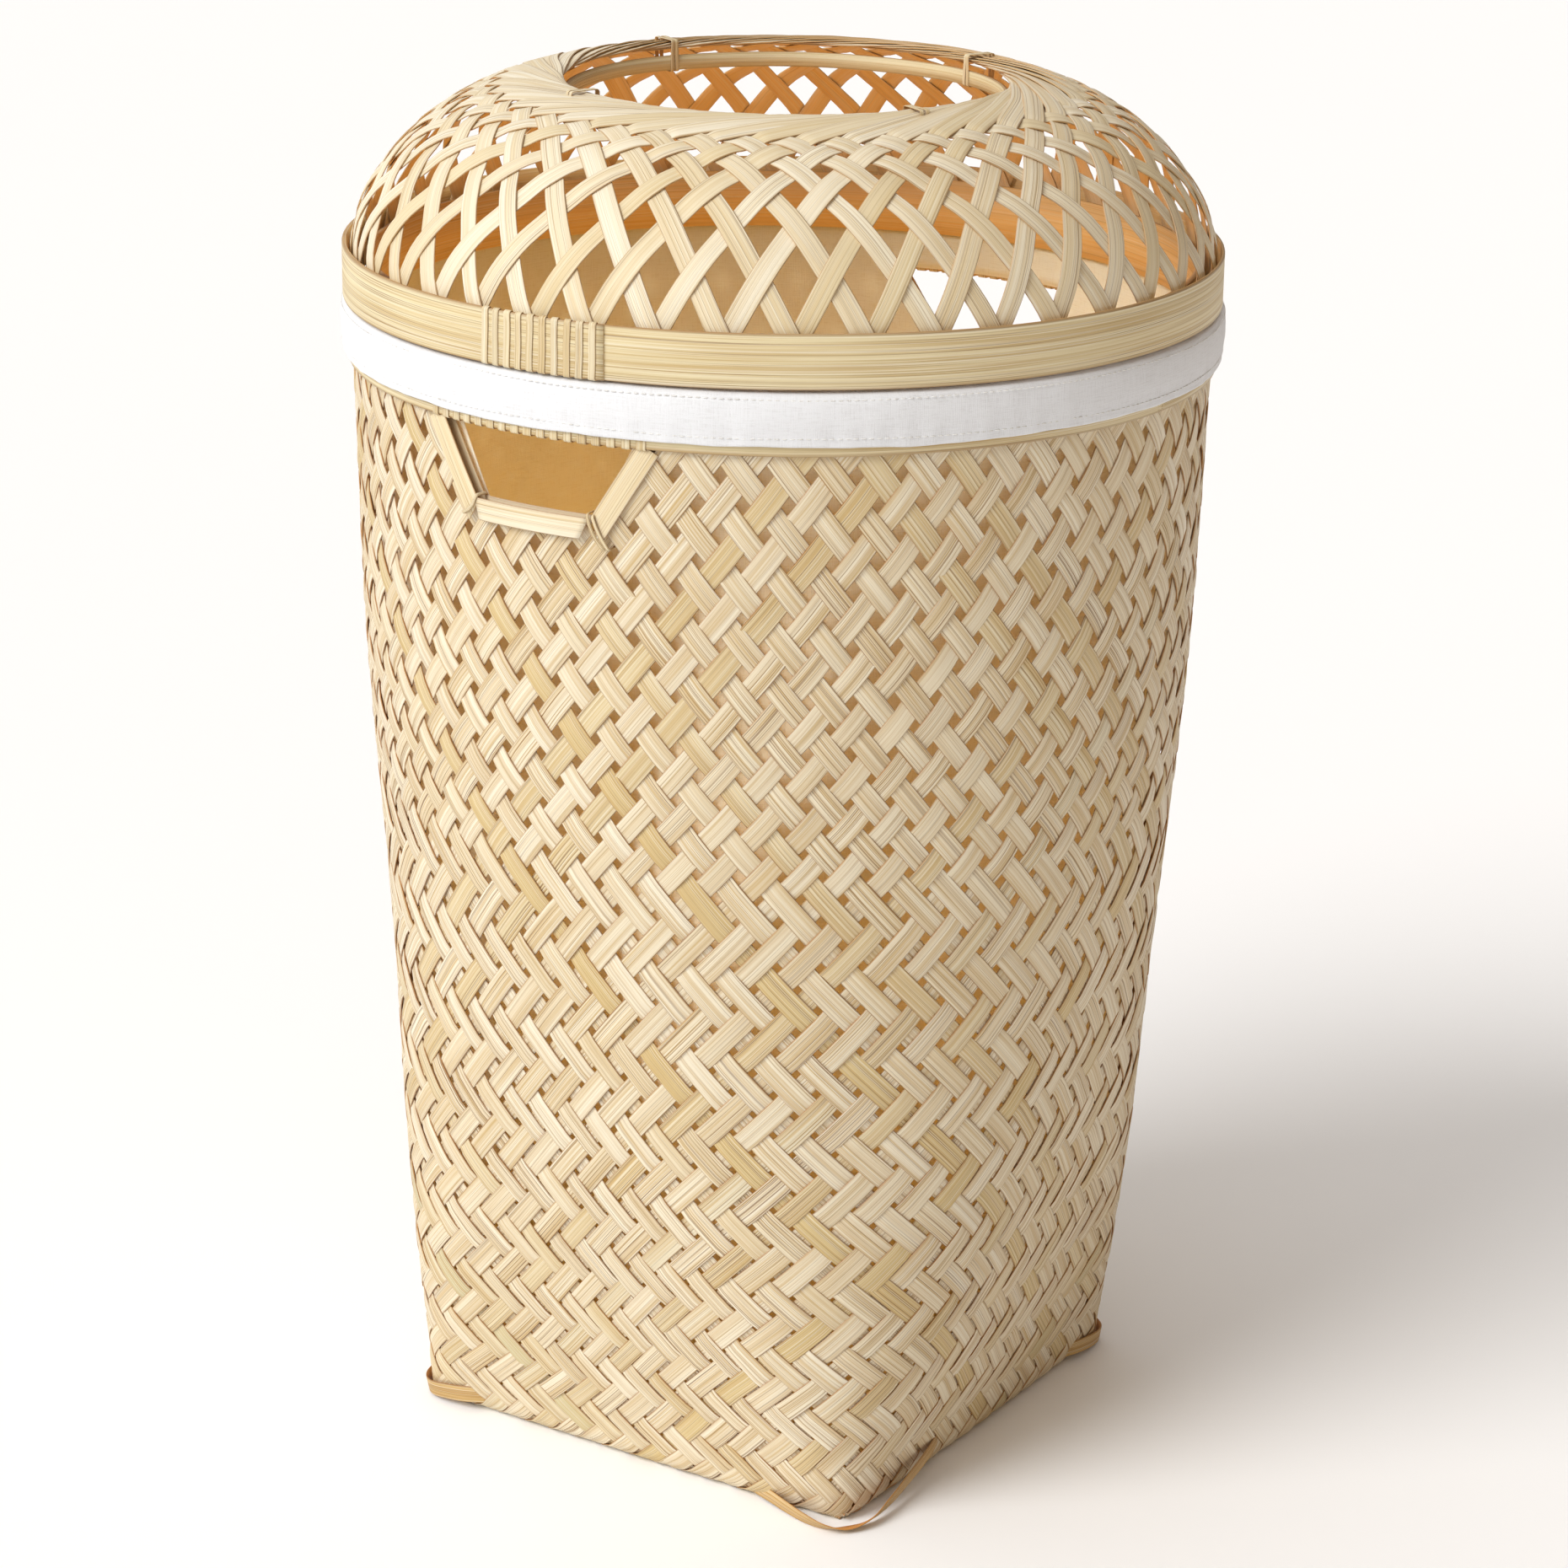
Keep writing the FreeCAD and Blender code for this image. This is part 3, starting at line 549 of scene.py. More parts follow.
def wall_half(u0, lean, down):
    """Stations of half a strip on the wall: place, direction across, and height in the plait."""
    k = np.r_[np.arange(0, math.floor(LAST_ROW * SAMPLES)) / SAMPLES, LAST_ROW]
    rows = np.array([1.0 if row_over(r) == (lean > 0) else -1.0 for r in range(int(LAST_ROW) + 3)])
    lift = wave(rows * WEAVE_LIFT, k)
    z = np.interp(k, ROW_K, ROW_Z)
    pitch = pitch_at(z)
    face = np.interp(np.stack([z, z + MM]), LEVELS, WALL_RADIUS[:, 0])
    stretch = np.hypot(1, (face[1] - face[0]) / MM)
    rise = (np.interp(k + 0.1, ROW_K, ROW_Z) - np.interp(k - 0.1, ROW_K, ROW_Z)) / 0.2
    rise[0] = rise[1]
    run = lean * pitch / 2
    climb = rise * stretch
    length = np.hypot(run, climb)
    tu, ts = run / length, climb / length
    if down:
        tu, ts = -tu, -ts
    # across = normal x direction, in the wall's own chart
    across = np.stack([-ts / pitch, tu / stretch], -1)
    order = slice(None, None, -1) if down else slice(None)
    return (u0 + lean * k / 2)[order], z[order], across[order], lift[order]


def side_axes(side):
    """Outward and rightward directions at one side of the base."""
    facing = (side - 1) * math.pi / 2
    out = np.array([math.cos(facing), math.sin(facing)])
    return out, np.array([-out[1], out[0]])


def side_place(point, side):
    """A base point's place along a side, in strips, and its distance inside that side."""
    out, right = side_axes(side)
    share = (point @ right) / BASE_PITCH
    return side * SIDE + SIDE / 2 + np.clip(share, -7.999, 7.999), BASE_HALF - point @ out


def on_base(points, entry, leave):
    """Point and normal of the base near two sides, with both edges rounded."""
    flat = np.concatenate([points, np.zeros(points.shape[:-1] + (1,))], -1)
    normal = np.broadcast_to(np.array([0.0, 0.0, -1.0]), flat.shape).copy()
    for side in (entry, leave):
        u, inside = side_place(points, side)
        round_point, round_normal = wall_skin(u, -inside)
        sharp_point, sharp_normal = wall_sharp(u, -inside)
        beyond = (inside < 0)[..., None]
        flat = np.where(beyond, sharp_point, flat)
        flat = flat + np.where(np.abs(inside)[..., None] < EDGE_ROUND, round_point - sharp_point, 0)
        normal = np.where(beyond, round_normal, normal + (round_normal - sharp_normal))
    return flat, unit(normal)


def side_point(u):
    side = math.floor(u / SIDE)
    out, right = side_axes(side)
    return out * BASE_HALF + right * (u - side * SIDE - SIDE / 2) * BASE_PITCH, side


def base_lifts(start, direction, count, slanting):
    """Over or under at each crossing on the way across the base."""
    lifts = []
    for step in range(count + 1):
        y = (start + direction * step * BASE_PITCH / math.sqrt(2))[1]
        row = int(round((y + BASE_HALF) / (BASE_PITCH / 2)))
        lifts.append((1.0 if (row % 4 in (0, 1)) == slanting else -1.0) * WEAVE_LIFT)
    return np.array(lifts)


def body_strip(i, gather, seed):
    """One strip of the basket: down the wall leaning right, across the base, up the wall leaning left."""
    dice = rng(seed)
    u0 = i + 0.5
    start, entry = side_point(u0)
    out, right = side_axes(entry)
    direction = (-out - right) / math.sqrt(2)
    along_side = (u0 - entry * SIDE) * BASE_PITCH
    leave = (entry - 1) % 4
    u1 = leave * SIDE + (SIDE - (u0 - entry * SIDE))

    width = STRIP_WIDTH * dice.uniform(*BODY_WIDTHS)
    across, through, inner = section(width, STRIP_THICK)
    wander = dice.uniform(-BODY_WANDER, BODY_WANDER) * MM
    waves = dice.uniform(0, TURN, 3)
    tilt_size = dice.uniform(*BODY_TILTS) * MM
    number = dice.uniform(0, 1)

    def lay(point, normal, lift, station):
        drift = np.sin(station * 0.21 + waves[0]) * DRIFT
        tilt = tilt_size * np.sin(station * 0.9 + waves[1])[:, None] * across / (width / 2)
        height = (lift + drift)[:, None] + through + tilt - WALL_INSET
        return point + normal * height[..., None]

    def offsets(station, z):
        sway = wander + SWAY * np.sin(station * 0.33 + waves[2])
        full = FOOT_WIDTH + FOOT_WIDENING * np.clip(z / FOOT_HEIGHT, 0, 1)
        return across[None, :] * full[:, None] + sway[:, None]

    pieces = []
    for stage in ("down", "base", "up"):
        if stage == "base":
            count = int(round(along_side * 2 / BASE_PITCH))
            steps = np.linspace(0, count, max(2, count * SAMPLES) + 1)[1:-1]
            lifts = base_lifts(start, direction, count, entry in (0, 2))
            edge_over = 1.0 if row_over(0) else -1.0
            lifts[0], lifts[-1] = edge_over * WEAVE_LIFT, -edge_over * WEAVE_LIFT
            middle = start + direction * steps[:, None] * BASE_PITCH / math.sqrt(2)
            cross = np.array([direction[1], -direction[0]])
            station = steps + 60.0
            spread = offsets(station, np.zeros(len(steps)))
            points = middle[:, None, :] + cross * spread[..., None]
            point, normal = on_base(points, entry, leave)
            pieces.append(lay(point, normal, wave(lifts, steps), station))
            continue
        down = stage == "down"
        u, z, chart, lift = wall_half(u0 if down else u1, 1 if down else -1, down)
        station = (np.arange(len(u)) / SAMPLES)[:: -1 if down else 1] + (0.0 if down else 120.0)
        spread = offsets(station, z)
        uu = u[:, None] + chart[:, :1] * spread
        ss = z[:, None] + chart[:, 1:] * spread
        near_top = np.clip((z - (WALL_TOP - TOP_EDGE)) / TOP_EDGE, 0, 1)[:, None]
        slide = -(ss - z[:, None]) * near_top
        ss = ss + slide
        uu = uu + slide * ((1 if down else -1) * 0.5 / RIM_PITCH_MM / MM)
        ss = np.minimum(ss, WALL_TOP)
        point, normal = wall_skin(uu, ss)
        pieces.append(lay(point, normal, lift, station))
    gather.add(np.vstack(pieces), across / (width / 2), inner, number)


def cut_openings(mesh, low, corner, slope, high, near):
    """Cuts both grip openings: above low, below high, between slanting sides through corner.

    near is the part of the mesh to look at: half width, lowest and highest place."""
    solid = bmesh.new()
    solid.from_mesh(mesh)
    lean = Vector((1, 0, -slope)).normalized()
    planes = [
        (Vector((0, 0, low)), Vector((0, 0, 1))),
        (Vector((corner[0], 0, corner[1])), -lean),
        (Vector((-corner[0], 0, corner[1])), Vector((lean.x, 0, -lean.z))),
        (Vector((0, 0, high)), Vector((0, 0, -1))),
    ]
    for sign in (-1, 1):

        def close_by():
            found = []
            for face in solid.faces:
                c = face.calc_center_median()
                if c.y * sign > 0.15 and abs(c.x) < near[0] and near[1] < c.z < near[2]:
                    found.append((face, c))
            return found

        for point, normal in planes:
            faces = [face for face, _ in close_by()]
            edges = {e for f in faces for e in f.edges}
            corners = {v for f in faces for v in f.verts}
            bmesh.ops.bisect_plane(
                solid, geom=list(corners) + list(edges) + faces, plane_co=point, plane_no=normal, dist=1e-6
            )
        doomed = [face for face, c in close_by() if all((c - p).dot(n) > 0 for p, n in planes)]
        bmesh.ops.delete(solid, geom=doomed, context="FACES")
    solid.to_mesh(mesh)
    solid.free()


def make_body():
    order = sorted(range(AROUND), key=lambda i: (i // SIDE % 2, i))
    for part in range(4):
        gather = Ribbons()
        for i in order[part * 16:(part + 1) * 16]:
            body_strip(i, gather, 1000 + i)
        nodes = ["woven_body"] if part == 0 else []
        piece = gather.build(f"body_strips_{part + 1}", weave_look, "basket", "bamboo_weave", nodes)
        cut_openings(piece.data, *STRIP_CUT)


make_body()


# ---------------------------------------------------------------- the lid's plait

lid_low, lid_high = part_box("woven_lid")
DOME_RADIUS = lid_high.x
CROWN_Z = 655 * MM
HOLE_RADIUS = 101.5 * MM
SHOULDER_RADIUS = 60 * MM
SHOULDER_Z = 572 * MM
SHOULDER_X = DOME_RADIUS - SHOULDER_RADIUS


def dome_profile():
    """Radius and height of the dome's outside from the hole down to its lower edge."""
    reach, rise = SHOULDER_X - HOLE_RADIUS, CROWN_Z - SHOULDER_Z
    crown = (reach**2 + rise**2 - SHOULDER_RADIUS**2) / (2 * (rise - SHOULDER_RADIUS))
    joint = math.atan2(reach, crown - rise)
    inner = [(HOLE_RADIUS - 12 * MM, CROWN_Z - 0.4 * MM), (HOLE_RADIUS - 4 * MM, CROWN_Z - 0.1 * MM)]
    first = [
        (HOLE_RADIUS + crown * math.sin(a), CROWN_Z - crown + crown * math.cos(a))
        for a in np.linspace(0, joint, 60)
    ]
    second = [
        (SHOULDER_X + SHOULDER_RADIUS * math.sin(a), SHOULDER_Z + SHOULDER_RADIUS * math.cos(a))
        for a in np.linspace(joint, math.pi / 2, 60)[1:]
    ]
    skirt = [(DOME_RADIUS, z) for z in np.linspace(SHOULDER_Z, lid_low.z - 2 * MM, 14)[1:]]
    return np.array(inner + first + second + skirt)


DOME = dome_profile()
DOME_LENGTH = np.r_[0, np.cumsum(np.hypot(*np.diff(DOME, axis=0).T))]
DOME_LENGTH -= DOME_LENGTH[2]
TANGENT_RADIUS = HOLE_RADIUS + LID_WIDTH / 2 + 0.3 * MM
LID_ROW = TURN / LID_STRIPS / 2


def on_dome(angle, m):
    r = np.interp(m, DOME_LENGTH, DOME[:, 0])
    z = np.interp(m, DOME_LENGTH, DOME[:, 1])
    return np.stack([r * np.cos(angle), r * np.sin(angle), z], -1)


def dome_skin(angle, m):
    point = on_dome(angle, m)
    across = on_dome(angle + 0.004, m) - on_dome(angle - 0.004, m)
    down = on_dome(angle, m + MM) - on_dome(angle, m - MM)
    return point, unit(np.cross(down, across))


# How far the strips lean from straight down, against radius
LEAN_RADIUS = np.array([0, 3, 8, 15, 27, 42, 58, 75, 95]) * MM + TANGENT_RADIUS
LEAN = np.radians([90, 78, 71, 66, 58.5, 47, 38.5, 32, 26.5])


def lid_path():
    """Turn round the axis against length down the dome, for a strip that starts along the hole's edge."""
    m = np.linspace(np.interp(TANGENT_RADIUS, DOME[:70, 0], DOME_LENGTH[:70]), DOME_LENGTH[-1] - 2 * MM, 6000)
    r = np.interp(m, DOME_LENGTH, DOME[:, 0])
    lean = np.interp(r, LEAN_RADIUS, LEAN)
    start = np.arccos(np.clip(TANGENT_RADIUS / r, 0, 1))
    step = np.tan(np.minimum(lean, np.radians(84))) / r * np.gradient(m)
    turn = np.where(r < TANGENT_RADIUS + 1.2 * MM, start, 0)
    first = int(np.argmax(r >= TANGENT_RADIUS + 1.2 * MM))
    turn[first:] = start[first] + np.cumsum(step[first:])
    return m, turn


PATH_M, PATH_TURN = lid_path()
LID_LAST = PATH_TURN[-1] / LID_ROW
PATH_RADIUS = np.interp(PATH_M, DOME_LENGTH, DOME[:, 0])[:3000]
STACK_ROWS = round(float(np.interp(DENSE_RADIUS, PATH_RADIUS, PATH_TURN[:3000])) / LID_ROW)


def lid_lift(side):
    """Heights at the crossing rows: one family over the other by the hole, plain weave further out."""
    rows = []
    for row in range(int(LID_LAST) + 3):
        if row <= STACK_ROWS:
            rows.append(side * min(row / 4, 1.0) * DENSE_LIFT)
        else:
            rows.append(side * (-1 if (row - STACK_ROWS) % 2 else 1) * OPEN_LIFT)
    return np.array(rows)


def lid_strip(i, gather):
    """One strip of the lid: from the rim up, along the hole's edge and down to the rim again."""
    dice = rng(5000 + i)
    first = i * TURN / LID_STRIPS + dice.uniform(-0.006, 0.006)
    width = LID_WIDTH * dice.uniform(*LID_WIDTHS)
    across, through, inner = section(width, LID_THICK)
    number = dice.uniform(0, 1)
    waves = dice.uniform(0, TURN, 4)
    halves = []
    for side in (-1, 1):
        t = np.r_[np.arange(0, LID_LAST, 1 / 6), LID_LAST]
        turn = t * LID_ROW
        m = np.interp(turn, PATH_TURN, PATH_M)
        r = np.interp(m, DOME_LENGTH, DOME[:, 0])
        lean = np.interp(r, LEAN_RADIUS, LEAN)
        lift = wave(lid_lift(side), t)
        apart = np.maximum(TURN * r / LID_STRIPS * np.cos(lean), 4 * MM)
        dense = np.clip((STACK_ROWS + 1 - t) / 2, 0, 1) * np.clip(t / 3, 0, 1)
        # outgoing halves turn clockwise seen from above
        chart_turn = side * np.cos(lean) / r
        chart_m = -np.sin(lean)
        sway = LID_SWAY * np.sin(t * 0.4 * side + waves[0]) + LID_TREMBLE * np.sin(t * 0.9 * side + waves[1])
        spread = across[None, :] + sway[:, None]
        angle = first - side * turn[:, None] - chart_turn[:, None] * spread
        mm = m[:, None] + chart_m[:, None] * spread
        near_end = np.clip((m - (DOME_LENGTH[-1] - 14 * MM)) / (12 * MM), 0, 1)[:, None]
        mm = mm + (m[:, None] - mm) * near_end
        point, normal = dome_skin(angle, mm)
        roll = LID_ROLL / width * np.sin(t * 0.8 + waves[2]) + side * dense * SHINGLE / apart
        tilt = roll[:, None] * across
        deeper = np.clip(1 - m / HOLE_DIP_REACH, 0, 1) * HOLE_DIP
        height = (lift - deeper)[:, None] + through + tilt - LID_INSET
        halves.append(point + normal * height[..., None])
    grid = np.vstack([halves[0][:0:-1], halves[1]])
    gather.add(grid, across / (width / 2), inner, number)


def make_lid():
    gather = Ribbons()
    for i in range(LID_STRIPS):
        lid_strip(i, gather)
    gather.build("lid_strips", lid_look, "lid", "bamboo_weave", ["woven_lid"])


make_lid()


# ---------------------------------------------------------------- hoops


def band(gather, inside, outside, low, high, number, turns=(0.0, TURN), closed=True, spiral=None,
         wave_size=0.25 * MM, turned=1.0):
    """A flat strip bent round the axis. spiral gives (inside, outside) at its far end."""
    dice = rng(int(number * 977) + 3)
    waves = dice.uniform(0, TURN, 4)
    count = int(abs(turns[1] - turns[0]) / TURN * 220)
    t = np.linspace(0, 1, count + 1)[: -1 if closed else None]
    angle = turns[0] + (turns[1] - turns[0]) * t
    middle = np.full(len(t), (inside + outside) / 2)
    thick = np.full(len(t), outside - inside)
    if spiral is not None:
        middle = middle + ((spiral[0] + spiral[1]) / 2 - middle) * t
        thick = thick + ((spiral[1] - spiral[0]) - thick) * t
    width = high - low
    slow, quick = np.sin(angle * 3 + waves[0]), np.sin(angle * 7 + waves[1])
    height = (high + low) / 2 + wave_size * slow * 0.5 + wave_size * quick * 0.4
    across, through, inner = section(width, 1.0, crown=0.04)
    radial = middle[:, None] + through[None, :] * thick[:, None]
    grid = np.stack([radial * np.cos(angle)[:, None], radial * np.sin(angle)[:, None],
                     height[:, None] - across[None, :]], -1)
    gather.add(grid, across / (width / 2), inner * turned, number, closed=closed)


LID_HOOP_THICK = 1.2 * MM
LID_LAP = math.radians(96)  # the lid's hoop goes round once and overlaps by this much
LID_LAP_END = -math.pi / 2 + math.radians(10.9)  # its outer end, beside the lashing


def make_hoops():
    for node, body, number in (
        ("rim_outer_hoop", "basket", 0.21),
        ("rim_inner_hoop", "basket", 0.47),
        ("lid_inner_hoop", "lid", 0.71),
        ("hole_hoop", "lid", 0.33),
    ):
        low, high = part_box(node)
        gather = Ribbons()
        turned = 0.0 if node == "hole_hoop" else 1.0
        band(gather, HOOP_INSIDE[node], high.x, low.z, high.z, number, turned=turned)
        gather.build(node + "_strip", hoop_look, body, "bamboo_hoop", [node])
    low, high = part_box("lid_outer_hoop")
    gather = Ribbons()
    first, last = LID_LAP_END - LID_LAP, LID_LAP_END + TURN
    band(gather, LID_HOOP_IN, LID_HOOP_IN + LID_HOOP_THICK, low.z, high.z, 0.62,
         turns=(first, last), closed=False, spiral=(high.x - 1.25 * MM, high.x))
    gather.build("lid_outer_hoop_strip", hoop_look, "lid", "bamboo_hoop", ["lid_outer_hoop"])


make_hoops()


# ---------------------------------------------------------------- lashings


def loop_outline(inside, outside, low, high, gap, thick):
    """Places round a rounded box: radius, height and the outward direction there."""
    corner = min(1.2 * MM, (outside - inside) / 2)
    r0, r1 = inside - gap - thick / 2, outside + gap + thick / 2
    z0, z1 = low - gap - thick / 2, high + gap + thick / 2
    outline = []
    for cx, cz, start in ((r1, z1, 0), (r0, z1, 90), (r0, z0, 180), (r1, z0, 270)):
        for a in np.radians(np.linspace(start, start + 90, 4)):
            outline.append((
                cx - math.copysign(corner, cx - (r0 + r1) / 2) + corner * math.cos(a),
                cz - math.copysign(corner, cz - (z0 + z1) / 2) + corner * math.sin(a),
                math.cos(a), math.sin(a),
            ))
    fine = []
    for (x0, y0, c0, s0), (x1, y1, c1, s1) in zip(outline, outline[1:] + outline[:1]):
        n = max(1, int(math.hypot(x1 - x0, y1 - y0) / (3 * MM)))
        for f in np.arange(n) / n:
            fine.append((x0 + (x1 - x0) * f, y0 + (y1 - y0) * f, c0 + (c1 - c0) * f, s0 + (s1 - s0) * f))
    return np.array(fine)


def wrap_loop(inside, outside, low, high, angle, slant, gap, dice, thick, width):
    """One turn of lashing strip round a hoop: stations round the hoop's section."""
    fine = loop_outline(inside, outside, low, high, gap, thick)
    across, through, inner = section(width, thick, crown=0.1)
    rise = (fine[:, 1] - (low + high) / 2) / (high - low)
    shift = slant * rise * np.where(fine[:, 0] > (inside + outside) / 2, 1, -1)
    waver = 0.12 * MM * np.sin(fine[:, 1] * 260 + dice.uniform(0, 6))
    radial = fine[:, 0][:, None] + fine[:, 2][:, None] * through
    z = fine[:, 1][:, None] + fine[:, 3][:, None] * through
    side = across[None, :] + (shift + waver)[:, None]
    way = np.array([math.cos(angle), math.sin(angle)])
    right = np.array([-way[1], way[0]])
    xy = radial[..., None] * way + side[..., None] * right
    return np.concatenate([xy, z[..., None]], -1), across / (width / 2), inner


def make_lashing(name, node, body, inside, outside, low, high, middle, count, step, width, thick, slant):
    gather = Ribbons()
    dice = rng(len(name) * 31 + count)
    for i in range(count):
        angle = middle + step * (i - (count - 1) / 2) + dice.uniform(-0.0008, 0.0008)
        w = width * dice.uniform(0.9, 1.03)
        grid, across, inner = wrap_loop(
            inside, outside, low, high, angle, slant + dice.uniform(-0.2, 0.2) * MM, 0.12 * MM, dice, thick, w
        )
        gather.add(grid, across, inner, dice.uniform(0, 1), closed=True)
    gather.build(name, lashing_look, body, "bamboo_lashing", [node])


GRIP_WRAPS = dict(count=17, step=math.radians(1.96), width=4.4 * MM, thick=0.42 * MM, slant=0.9 * MM)
LID_WRAPS = dict(count=10, step=math.radians(1.73), width=3.6 * MM, thick=0.4 * MM, slant=0.5 * MM)
LID_WRAPS_AT = -math.pi / 2 + math.radians(1.7)

for side, facing in (("front", -math.pi / 2), ("back", math.pi / 2)):
    make_lashing(f"{side}_grip_wraps", f"{side}_grip_lashing", "basket", RIM_IN, RIM_OUT, RIM_LOW, RIM_HIGH,
                 facing, **GRIP_WRAPS)
lash_low, lash_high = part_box("lid_outer_hoop")
make_lashing("lid_hoop_wraps", "lid_hoop_lashing", "lid", LID_HOOP_IN, LID_HOOP_OUT, lash_low.z, lash_high.z,
             LID_WRAPS_AT, **LID_WRAPS)


# ---------------------------------------------------------------- grip trims and their ties

DRUM = 200 * MM


def on_drum(x, z, radius, facing):
    """A point at a radius; x runs right seen from outside, facing is -1 at the front and 1 at the back."""
    angle = x / DRUM
    return np.stack([-facing * radius * np.sin(angle), facing * radius * np.cos(angle), z], -1)


def flat_strip(gather, start, end, radius, facing, width, thick, number, cuts):
    """A straight strip laid on the wall from one place to another; cuts slant its ends."""
    start, end = np.array(start) * MM, np.array(end) * MM
    length = np.linalg.norm(end - start)
    way = (end - start) / length
    t = np.linspace(0, 1, max(3, int(length / (3 * MM))))[:, None]
    across, through, inner = section(width, thick)
    along = t * length + across * (cuts[0] * (1 - t) + cuts[1] * t)
    x = start[0] + way[0] * along - way[1] * across
    z = start[1] + way[1] * along + way[0] * across
    gather.add(on_drum(x, z, radius + through, facing), across / (width / 2), inner, number)


def tie_strand(gather, start, end, radii, facing, width, number, bow):
    """One turn of thin strip through the wall from one place to another and back inside."""
    start, end = np.array(start) * MM, np.array(end) * MM
    length = np.linalg.norm(end - start)
    way, middle = (end - start) / length, (start + end) / 2
    fine = loop_outline(radii[0], radii[1], -length / 2, length / 2, 0.1 * MM, 0.4 * MM)
    across, through, inner = section(width, 0.5 * MM, crown=0.5)
    run = fine[:, 1][:, None] + fine[:, 3][:, None] * through
    outside = fine[:, 0] > (radii[0] + radii[1]) / 2
    side = across + (bow * outside * (1 - (2 * fine[:, 1] / length) ** 2))[:, None]
    radial = fine[:, 0][:, None] + fine[:, 2][:, None] * through
    x = middle[0] + way[0] * run - way[1] * side
    z = middle[1] + way[1] * run + way[0] * side
    gather.add(on_drum(x, z, radial, facing), across / (width / 2), inner, number, closed=True)


# Places in mm on the unrolled wall: start, end, width, slant of the two ends, strip's number
TRIM_SIDES = (
    ((-57.2, 525.2), (-32.2, 485.6), 10.6, (0, -0.5), 0.13),
    ((57.2, 525.2), (33.6, 487.4), 10.6, (0, 0.75), 0.37),
    ((-29.6, 487), (27.6, 487), 10, (-0.3, 0.45), 0.58),
)
TRIM_THICK = 0.55 * MM
# Radii of each trim: its upright sides, then its lower side, which lies over them
TRIM_RADII = {"outer": (201.3 * MM, 201.95 * MM), "inner": (196.3 * MM, 196.0 * MM)}
# Strands of the ties at the two lower corners: start, end, width, number, bow
TRIM_TIES = (
    (((-29.8, 492.8), (-38.4, 483.6), 1.7, 0.2, 1.6),),
    (((29.4, 493.4), (37.0, 478.8), 1.8, 0.4, -1.3), ((31.9, 493.0), (39.4, 479.0), 1.7, 0.7, -0.8)),
)
TIE_RADII = (195.6 * MM, 202.3 * MM)


def make_trims():
    for end, facing in (("front", -1), ("back", 1)):
        for skin, (under, over) in TRIM_RADII.items():
            gather = Ribbons()
            for radius, (start, stop, width, cuts, number) in zip((under, under, over), TRIM_SIDES):
                flat_strip(gather, start, stop, radius, facing, width * MM, TRIM_THICK, number, cuts)
            node = f"{end}_grip_{skin}_trim"
            gather.build(node + "_strip", trim_look, "basket", "bamboo_hoop", [node])
        sides = ("left", "right") if facing < 0 else ("right", "left")
        for side, strands in zip(sides, TRIM_TIES):
            gather = Ribbons()
            for start, stop, width, number, bow in strands:
                tie_strand(gather, start, stop, TIE_RADII, facing, width * MM, number, bow * MM)
            node = f"{end}_{side}_trim_tie"
            gather.build(node + "_strand", lashing_look, "basket", "bamboo_lashing", [node])


make_trims()


def make_hole_ties():
    for corner, angle in (("front_right", -25), ("back_right", 65), ("back_left", 155), ("front_left", 245)):
        gather = Ribbons()
        dice = rng(angle + 300)
        for offset in (-0.6, 0.6):
            grid, across, inner = wrap_loop(
                *HOLE_TIE_BOX, math.radians(angle + offset * 1.1), 0.8 * MM * offset, 0.1 * MM, dice,
                0.4 * MM, 2.1 * MM,
            )
            gather.add(grid, across, inner, dice.uniform(0, 1), closed=True)
        node = f"{corner}_hole_tie"
        gather.build(node + "_strand", lashing_look, "lid", "bamboo_lashing", [node])


make_hole_ties()


# ---------------------------------------------------------------- corner loops


def spline(points):
    """A smooth line through points, 6 stations to a span."""
    p = np.array(points, float)
    p = np.vstack([2 * p[:1] - p[1:2], p, 2 * p[-1:] - p[-2:-1]])
    t = (np.arange(6) / 6)[:, None]
    pieces = []
    for a, b, c, d in zip(p, p[1:], p[2:], p[3:]):
        square, cube = 2 * a - 5 * b + 4 * c - d, 3 * b - a - 3 * c + d
        pieces.append(0.5 * (2 * b + (c - a) * t + square * t**2 + cube * t**3))
    return np.vstack(pieces + [p[-2:-1]])


# Places along each loop for a corner at +x, +y: x, y, z in mm, then which way the strip's width runs
SLACK_LOOP = [
    (70, 122.0, 5.0, 0, 0, 1), (84, 126.3, 4.6, 0, 0, 1), (93, 129.6, 4.3, 0.05, 0.1, 1),
    (107, 133.6, 3.6, 0.15, 0.35, 0.9), (119, 133.8, 2.6, 0.35, 0.6, 0.6),
    (127.6, 127.6, 1.8, 0.65, 0.65, 0.25),
    (133.4, 117, 3.4, 0.65, 0.4, 0.6), (134.4, 101, 6.4, 0.3, 0.1, 0.95), (133.2, 80, 10.6, 0.1, 0, 1),
    (131.4, 62, 14.0, 0, 0, 1), (128.6, 50, 15.6, 0, 0, 1), (124, 41, 16.4, 0, 0, 1),
]
TIGHT_LOOP = [
    (80, 122.5, 10.0, 0, 0, 1), (89, 126.2, 9.4, 0, 0, 1), (98, 127.8, 8.2, 0, 0, 1),
    (108, 127.6, 6.8, 0, 0.05, 1), (116.6, 126.2, 5.6, 0.05, 0.15, 1), (122.5, 122.5, 5.0, 0.15, 0.15, 1),
    (126.2, 116.6, 5.2, 0.15, 0.05, 1), (127.6, 108, 6.0, 0.05, 0, 1), (127.6, 98, 7.2, 0, 0, 1),
    (126, 88, 8.2, 0, 0, 1), (122, 78, 8.8, 0, 0, 1),
]


LOOP_THICK = 0.65 * MM


